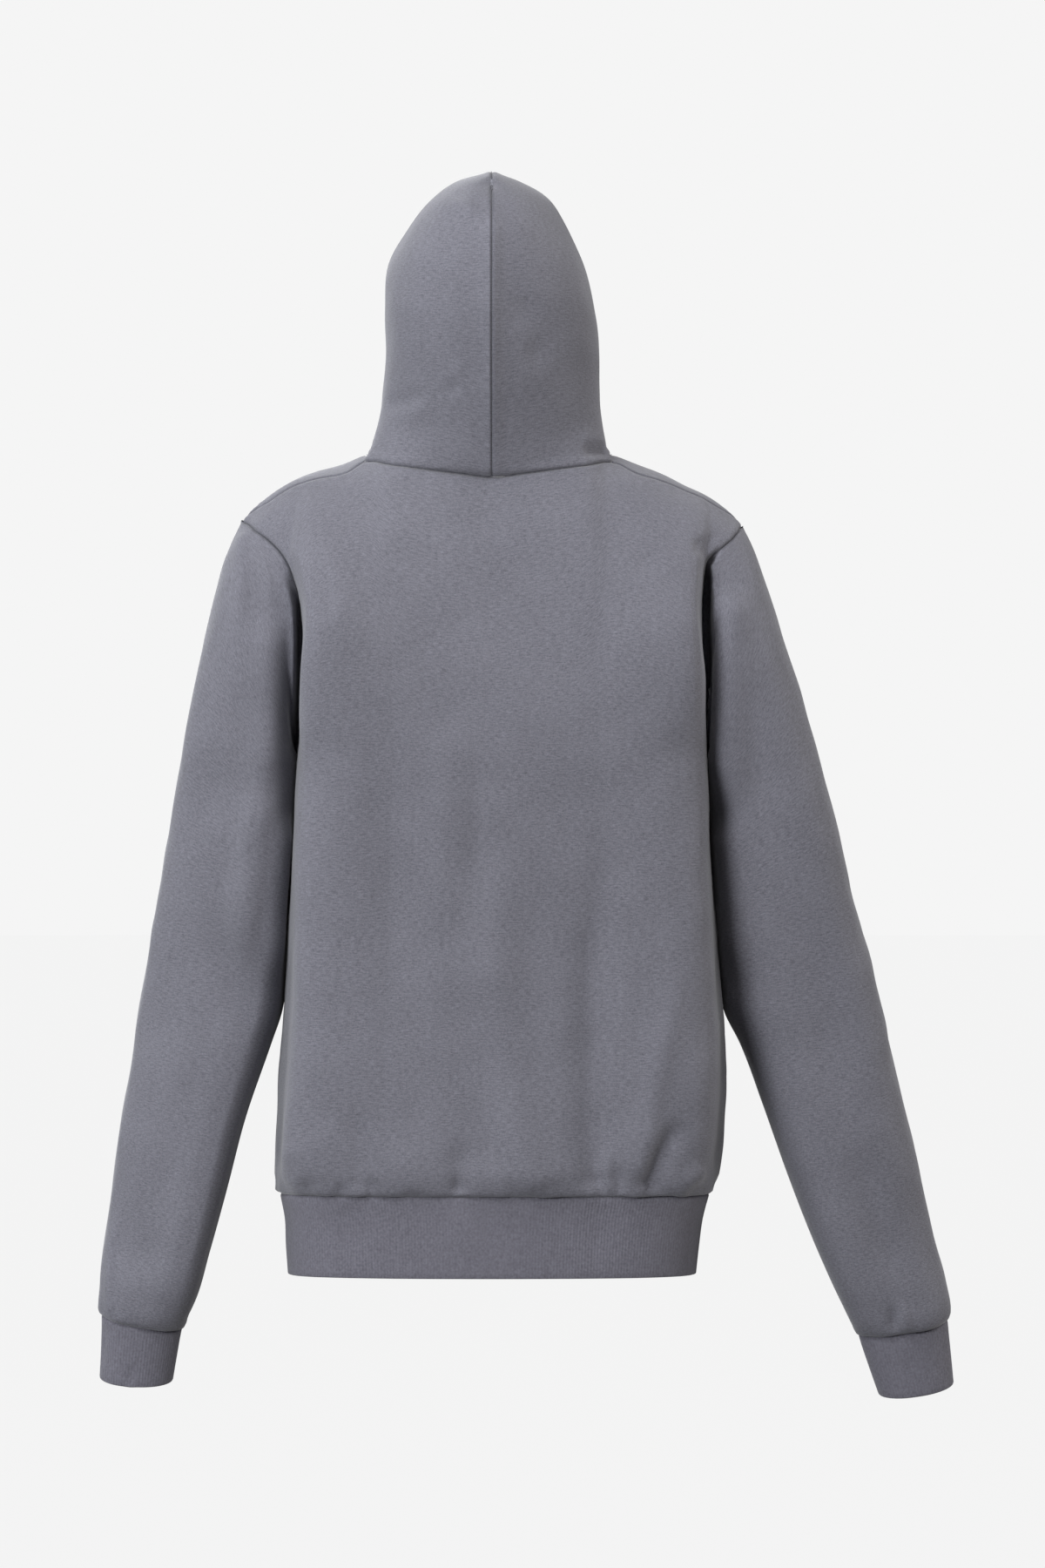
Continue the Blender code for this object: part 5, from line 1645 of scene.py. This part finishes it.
# slider: two shield-shaped plates round the tapes, a core between them and two ears with the pin
sliderSizes = {
    "wide": 9.2 * mm,
    "pinRise": 3.7 * mm,  # the pin's middle above the cloth's outer face, from where the plates are placed
    "front": (2.2 * mm, 0.3 * mm),  # thickness, and how far below that face its middle is
    "back": (1.3 * mm, 4.65 * mm),
    "foot": (0.74, 1, 0.9),  # the plates' lower end against their upper end
    "plateSoft": 0.75 * mm,
    "core": (2.6 * mm, 3.2 * mm, 3.2 * mm),
    "coreDepth": 2.6 * mm,
    "coreUp": 0.32,  # share of the slider's length above its middle
    "ear": (1.2 * mm, 4.4 * mm, 3.6 * mm),
    "earAt": (2.8 * mm, -0.4 * mm, 1.4 * mm),  # to the side, its middle and its top out from the pin
    "earTop": (0.8, 0.5, 1),
    "earSoft": 0.25 * mm,
    "pin": (0.7 * mm, 5.6 * mm),  # radius and length
}
pinAt = np.array(frame["record"]["behaviour"]["joints"][0]["pos_m"])
hardLength = zipPlace(hardLine, 0)[3]
long, pinRise = zipSizes["sliderLength"], sliderSizes["pinRise"]
_, up, out, _ = zipPlace(hardLine, sliderFoot(hardLength) + long * zipSizes["pinShare"])
toMiddle = (0.5 - zipSizes["pinShare"]) * long
plates = []
for name, (thick, depth) in (("zipSlider", sliderSizes["front"]), ("backPlate", sliderSizes["back"])):
    plate = startBox(name, (sliderSizes["wide"], long, thick), (0, toMiddle, -pinRise - depth))
    plates.append(plate)
    selectFaces(plate, lambda middle, way: way.y < -0.9)
    foot = (0, toMiddle - long / 2, plate.data.vertices[0].co.z)
    bpy.ops.transform.resize(value=sliderSizes["foot"], center_override=foot)
    leaveEdit()
    softenEdges(plate, sliderSizes["plateSoft"], 3)
zipSlider, back = plates
coreAt = (0, toMiddle + long * sliderSizes["coreUp"], -pinRise - sliderSizes["coreDepth"])
combine(zipSlider, startBox("core", sliderSizes["core"], coreAt), "UNION")
combine(zipSlider, back, "UNION")
earX, earOut, earTop = sliderSizes["earAt"]
for side in (1, -1):
    ear = startBox("ear", sliderSizes["ear"], (side * earX, 0, earOut))
    selectFaces(ear, lambda middle, way: way.z > 0.9)
    bpy.ops.transform.resize(value=sliderSizes["earTop"], center_override=(side * earX, 0, earTop))
    leaveEdit()
    softenEdges(ear, sliderSizes["earSoft"], 2)
    combine(zipSlider, ear, "UNION")
combine(zipSlider, startRod("pin", *sliderSizes["pin"], sides=20, across=True), "UNION")
setInPlace(zipSlider, pinAt, up, out)
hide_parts("zip_slider")
smoothShade(zipSlider)

# pull: a flat tab that widens below its eye and ends round, with a hole
pullSizes = {
    "wideFrom": 7.2 * mm,  # below the pin
    "taper": 2.6 * mm,  # the length over which it widens
    "neck": 0.53,  # the width above that, against the full one
    "neckLength": 3.0 * mm,
    "roundness": 0.98,
    "soft": 0.28 * mm,
    "endHole": (1.4 * mm, 4 * mm),  # radius and length, as for the next two
    "eye": (2.1 * mm, 3.6 * mm),
    "eyeHole": (1.1 * mm, 8 * mm),
    "eyeSoft": 0.3 * mm,
}
halfWide, pullLong = zipSizes["pullHalfWidth"], zipSizes["pullLength"]
start = pullSizes["wideFrom"]
size = (2 * halfWide, pullLong - start, zipSizes["pullThick"])
pull = startBox("zipPull", size, (0, -(pullLong + start) / 2, 0))
selectFaces(pull, lambda middle, way: way.y > 0.9)
bpy.ops.mesh.extrude_region_move(TRANSFORM_OT_translate={"value": (0, pullSizes["taper"], 0)})
neckFoot = (0, pullSizes["taper"] - start, 0)
bpy.ops.transform.resize(value=(pullSizes["neck"], 1, 1), center_override=neckFoot)
bpy.ops.mesh.extrude_region_move(TRANSFORM_OT_translate={"value": (0, pullSizes["neckLength"], 0)})
bpy.ops.mesh.select_all(action="DESELECT")
bpy.ops.mesh.select_mode(type="EDGE")
shape = bmesh.from_edit_mesh(pull.data)
for corner in shape.edges:
    atEnd = all(v.co.y < -pullLong + 0.01 * mm for v in corner.verts)
    corner.select_set(atEnd and abs(corner.verts[0].co.z - corner.verts[1].co.z) > 0.01 * mm)
bmesh.update_edit_mesh(pull.data)
bpy.ops.mesh.bevel(offset=halfWide * pullSizes["roundness"], segments=9)
leaveEdit()
combine(pull, startRod("endHole", *pullSizes["endHole"], (0, -(pullLong - halfWide), 0)), "DIFFERENCE")
softenEdges(pull, pullSizes["soft"], 2)
eye = startRod("eye", *pullSizes["eye"], across=True)
softenEdges(eye, pullSizes["eyeSoft"], 2)
combine(pull, eye, "UNION")
combine(pull, startRod("eyeHole", *pullSizes["eyeHole"], across=True), "DIFFERENCE")
setInPlace(pull, pinAt, up, out)
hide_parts("zip_pull")
smoothShade(pull)
print("zip made")


# topstitching beside the zip and round the hood's hem: one stitch, copied along the lines
topstitch = {
    "pitch": 3.0 * mm,
    "length": 2.4 * mm,
    "wide": 0.7 * mm,
    "high": 0.6 * mm,
    "proud": 0.1 * mm,
    "endGap": 2.0 * mm,
    "ahead": 1.0 * mm,  # a stitch points this far along the line
    "besideZip": 6.0 * mm,
    "hoodHem": 25.0 * mm,
}


def stitchLine(name, edge, distance):
    # a line on the cloth at a distance from an edge, walked in even steps
    grid, ways = (linesFrom(a, edge).swapaxes(0, 1) for a in (shown[name], normals[name]))
    away = linesFrom(awayFrom(shown[name], edge), edge).swapaxes(0, 1)
    points = np.array([valuesAt(distance, *row) for row in zip(away, grid)])
    outs = unit(np.array([valuesAt(distance, *row) for row in zip(away, ways)]))
    lengths, gap = runAlong(points), topstitch["endGap"]
    stops = np.arange(gap, lengths[-1] - gap, topstitch["pitch"])
    places = valuesAt(stops, lengths, points)
    along = unit(valuesAt(stops + topstitch["ahead"], lengths, points) - places)
    out = unit(valuesAt(stops, lengths, outs))
    return [(p + o * topstitch["proud"], np.cross(a, o), a, o) for p, a, o in zip(places, along, out)]


clearSelection()
bpy.ops.mesh.primitive_uv_sphere_add(segments=6, ring_count=4, radius=0.5)
stitch = bpy.context.object
stitch.scale = (topstitch["wide"], topstitch["length"], topstitch["high"])
bpy.ops.object.transform_apply(location=True, rotation=True, scale=True)
frames = []
for word in ("left", "right"):
    frames += stitchLine("front_" + word, "firstColumn", topstitch["besideZip"])
    frames += stitchLine("hood_" + word, "firstColumn", topstitch["hoodHem"])
frames += stitchLine("waistband", "firstColumn", topstitch["besideZip"])
frames += stitchLine("waistband", "lastColumn", topstitch["besideZip"])
topstitching = copiesMesh("topstitching", stitch, frames)
smoothShade(topstitching, 60)
print("stitches:", len(frames))


waveTurns = 20 / (2 * math.pi)  # bands that a wave texture of scale 1 draws to the metre
twill = {
    "stops": ((0.1, "#55545c"), (0.8, "#6a6972")),
    "ribs": 1.0472 * mm,
    "picks": 0.748 * mm,
    "bump": {"Strength": 0.5, "Distance": 0.3 * mm},
}


def wovenTape():
    # polyester twill tape: tight, slightly shiny ribs that run along it, a millimetre apart
    made, tree, shader = newMaterial("polyesterTwillTape", 0.7, Specular_IOR_Level=0.3)
    cloth = addNode(tree, "UVMap", uv_map="cloth").outputs[0]
    ribs, picks = (
        addNode(tree, "TexWave", {"Vector": cloth, "Scale": 1 / size / waveTurns}, bands_direction=way)
        for size, way in ((twill["ribs"], "X"), (twill["picks"], "Y"))
    )
    weave = {0: ribs.outputs["Fac"], 1: picks.outputs["Fac"]}
    weave = addNode(tree, "Math", weave, operation="MULTIPLY").outputs[0]
    colour = addNode(tree, "ValToRGB", {"Fac": weave}, twill["stops"]).outputs[0]
    bump = addNode(tree, "Bump", {"Height": weave, **twill["bump"]}).outputs[0]
    tree.links.new(colour, shader.inputs["Base Color"])
    tree.links.new(bump, shader.inputs["Normal"])
    return made


nickel = {
    "stops": ((0.35, "#a8a7a4"), (0.7, "#c9c8c4")),
    "rub": 2.6316 * mm,
    "dull": (0.42, 0.26),  # roughness, from where it is least rubbed to most
    "bump": {"Strength": 0.08, "Distance": 0.1 * mm},
}


def satinNickel():
    # nickel-plated zinc, tumbled satin: a grey metal with a soft gleam, rubbed brighter in small patches
    made, tree, shader = newMaterial("satinNickel", 0.34, 1.0)
    place = addNode(tree, "TexCoord").outputs["Object"]
    rub = {"Vector": place, "Scale": 1 / nickel["rub"], "Detail": 3.0}
    rub = addNode(tree, "TexNoise", rub).outputs[0]
    colour = addNode(tree, "ValToRGB", {"Fac": rub}, nickel["stops"]).outputs[0]
    least, most = nickel["dull"]
    dull = addNode(tree, "MapRange", {0: rub, 3: least, 4: most}).outputs[0]
    bump = addNode(tree, "Bump", {"Height": rub, **nickel["bump"]}).outputs[0]
    tree.links.new(colour, shader.inputs["Base Color"])
    tree.links.new(dull, shader.inputs["Roughness"])
    tree.links.new(bump, shader.inputs["Normal"])
    return made


sewingThread = {"stops": ((0.3, "#62616a"), (0.7, "#7a7982")), "turn": 0.66667 * mm}


def spunThread():
    # spun polyester sewing thread in the cloth's own grey: matt, with fine turns across it
    made, tree, shader = newMaterial("spunPolyesterThread", 0.8, Sheen_Weight=0.2)
    place = addNode(tree, "TexCoord").outputs["Object"]
    twist = {"Vector": place, "Scale": 1 / sewingThread["turn"], "Detail": 1.0}
    twist = addNode(tree, "TexNoise", twist).outputs[0]
    colour = addNode(tree, "ValToRGB", {"Fac": twist}, sewingThread["stops"]).outputs[0]
    tree.links.new(colour, shader.inputs["Base Color"])
    return made


metal, tape, thread = satinNickel(), wovenTape(), spunThread()
for piece in (zipTeeth, zipBox, zipSlider, pull, *stopParts):
    piece.data.materials.clear()
    piece.data.materials.append(metal)
for piece in zipTapes.values():
    piece.data.materials.append(tape)
topstitching.data.materials.append(thread)
for piece in (zipTeeth, zipBox, zipSlider, *stopParts, *zipTapes.values(), topstitching):
    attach(piece, "garment")
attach(pull, "pull")

# camera, light and floor
cameraSizes = {
    "place": (-0.0252, 8.0, -0.2707),  # square on the back
    "turn": (math.radians(90), 0, math.radians(180)),
    "lens": 222.2,
    "sensor": 36.0,
    "farthest": 200.0,
}
camera = bpy.data.objects.new("camera", bpy.data.cameras.new("camera"))
scene.collection.objects.link(camera)
camera.location = cameraSizes["place"]
camera.rotation_euler = cameraSizes["turn"]
camera.data.lens = cameraSizes["lens"]
camera.data.sensor_width = cameraSizes["sensor"]
camera.data.clip_end = cameraSizes["farthest"]
scene.camera = camera
scene.view_settings.view_transform = "Standard"

paper = {
    "colour": "#f5f5f5",
    "roomColour": (1.0, 0.975, 0.94, 1.0),
    "ambient": 0.02,
    "floorColour": "#0c0c0c",
    "floorGlow": 0.2,
    "seenGlow": 0.785,  # more of it in what the camera sees, so that the floor stays as pale as the back
    "floorHeight": -1.02,
    "half": 40.0,
}
world = bpy.data.worlds.new("studio")
scene.world = world
world.use_nodes = True
tree = world.node_tree
tree.nodes.clear()
seenBack = addNode(tree, "Background", {"Color": hexColour(paper["colour"]), "Strength": 1.0})
roomLight = addNode(tree, "Background", {"Color": paper["roomColour"], "Strength": paper["ambient"]})
seen = addNode(tree, "LightPath").outputs["Is Camera Ray"]
pick = addNode(tree, "MixShader", {0: seen, 1: roomLight.outputs[0], 2: seenBack.outputs[0]})
addNode(tree, "OutputWorld", {"Surface": pick.outputs[0]})

floorMesh = bpy.data.meshes.new("floor")
corners = [(x * paper["half"], y * paper["half"], 0) for x, y in ((-1, -1), (1, -1), (1, 1), (-1, 1))]
floorMesh.from_pydata(corners, [], [(0, 1, 2, 3)])
floor = bpy.data.objects.new("floor", floorMesh)
floor.location.z = paper["floorHeight"]
scene.collection.objects.link(floor)
# pale paper without a shine, evenly bright however far it runs
look = {
    "Base_Color": hexColour(paper["floorColour"]),
    "Emission_Color": hexColour(paper["colour"]),
    "Specular_IOR_Level": 0.0,
}
paperFloor, tree, shader = newMaterial("palePaper", 1.0, **look)
seen = addNode(tree, "LightPath").outputs["Is Camera Ray"]
glow = {0: seen, 1: paper["seenGlow"], 2: paper["floorGlow"]}
glow = addNode(tree, "Math", glow, operation="MULTIPLY_ADD").outputs[0]
tree.links.new(glow, shader.inputs["Emission Strength"])
floorMesh.materials.append(paperFloor)

# soft round lights: place, the height aimed at, size, power in watts, colour
cool, neutral, warm = (0.94, 0.97, 1.0), (0.97, 0.98, 1.0), (1.0, 0.985, 0.96)
lampTable = {
    "keyLight": ((1.7, 3.04, -0.05), -0.35, 1.2, 71, cool),
    "highLight": ((1.72, 2.05, 1.9), -0.35, 1.2, 45, cool),
    "fillLight": ((-1.75, 2.66, 1.13), -0.35, 1.6, 28, warm),
    "topLight": ((0.0, 0.91, 3.03), -0.35, 1.4, 50, neutral),
    "rimLight": ((3.2, -0.6, 0.5), -0.35, 1.6, 45, cool),
    "farRimLight": ((-3.2, -0.6, 0.2), -0.4, 1.6, 45, warm),
    "frontLight": ((1.2, -3.2, 1.6), -0.4, 2.0, 60, neutral),
}
for name, (place, aimHeight, size, power, colour) in lampTable.items():
    lamp = bpy.data.lights.new(name, "AREA")
    lamp.shape = "DISK"
    lamp.size = size
    lamp.energy = power
    lamp.color = colour
    made = bpy.data.objects.new(name, lamp)
    made.location = place
    way = np.array((0, 0, aimHeight)) - np.array(place)
    level = math.hypot(way[0], way[1])
    made.rotation_euler = (math.atan2(level, -way[2]), 0, math.atan2(way[1], way[0]) - math.pi / 2)
    scene.collection.objects.link(made)
print("stage set")
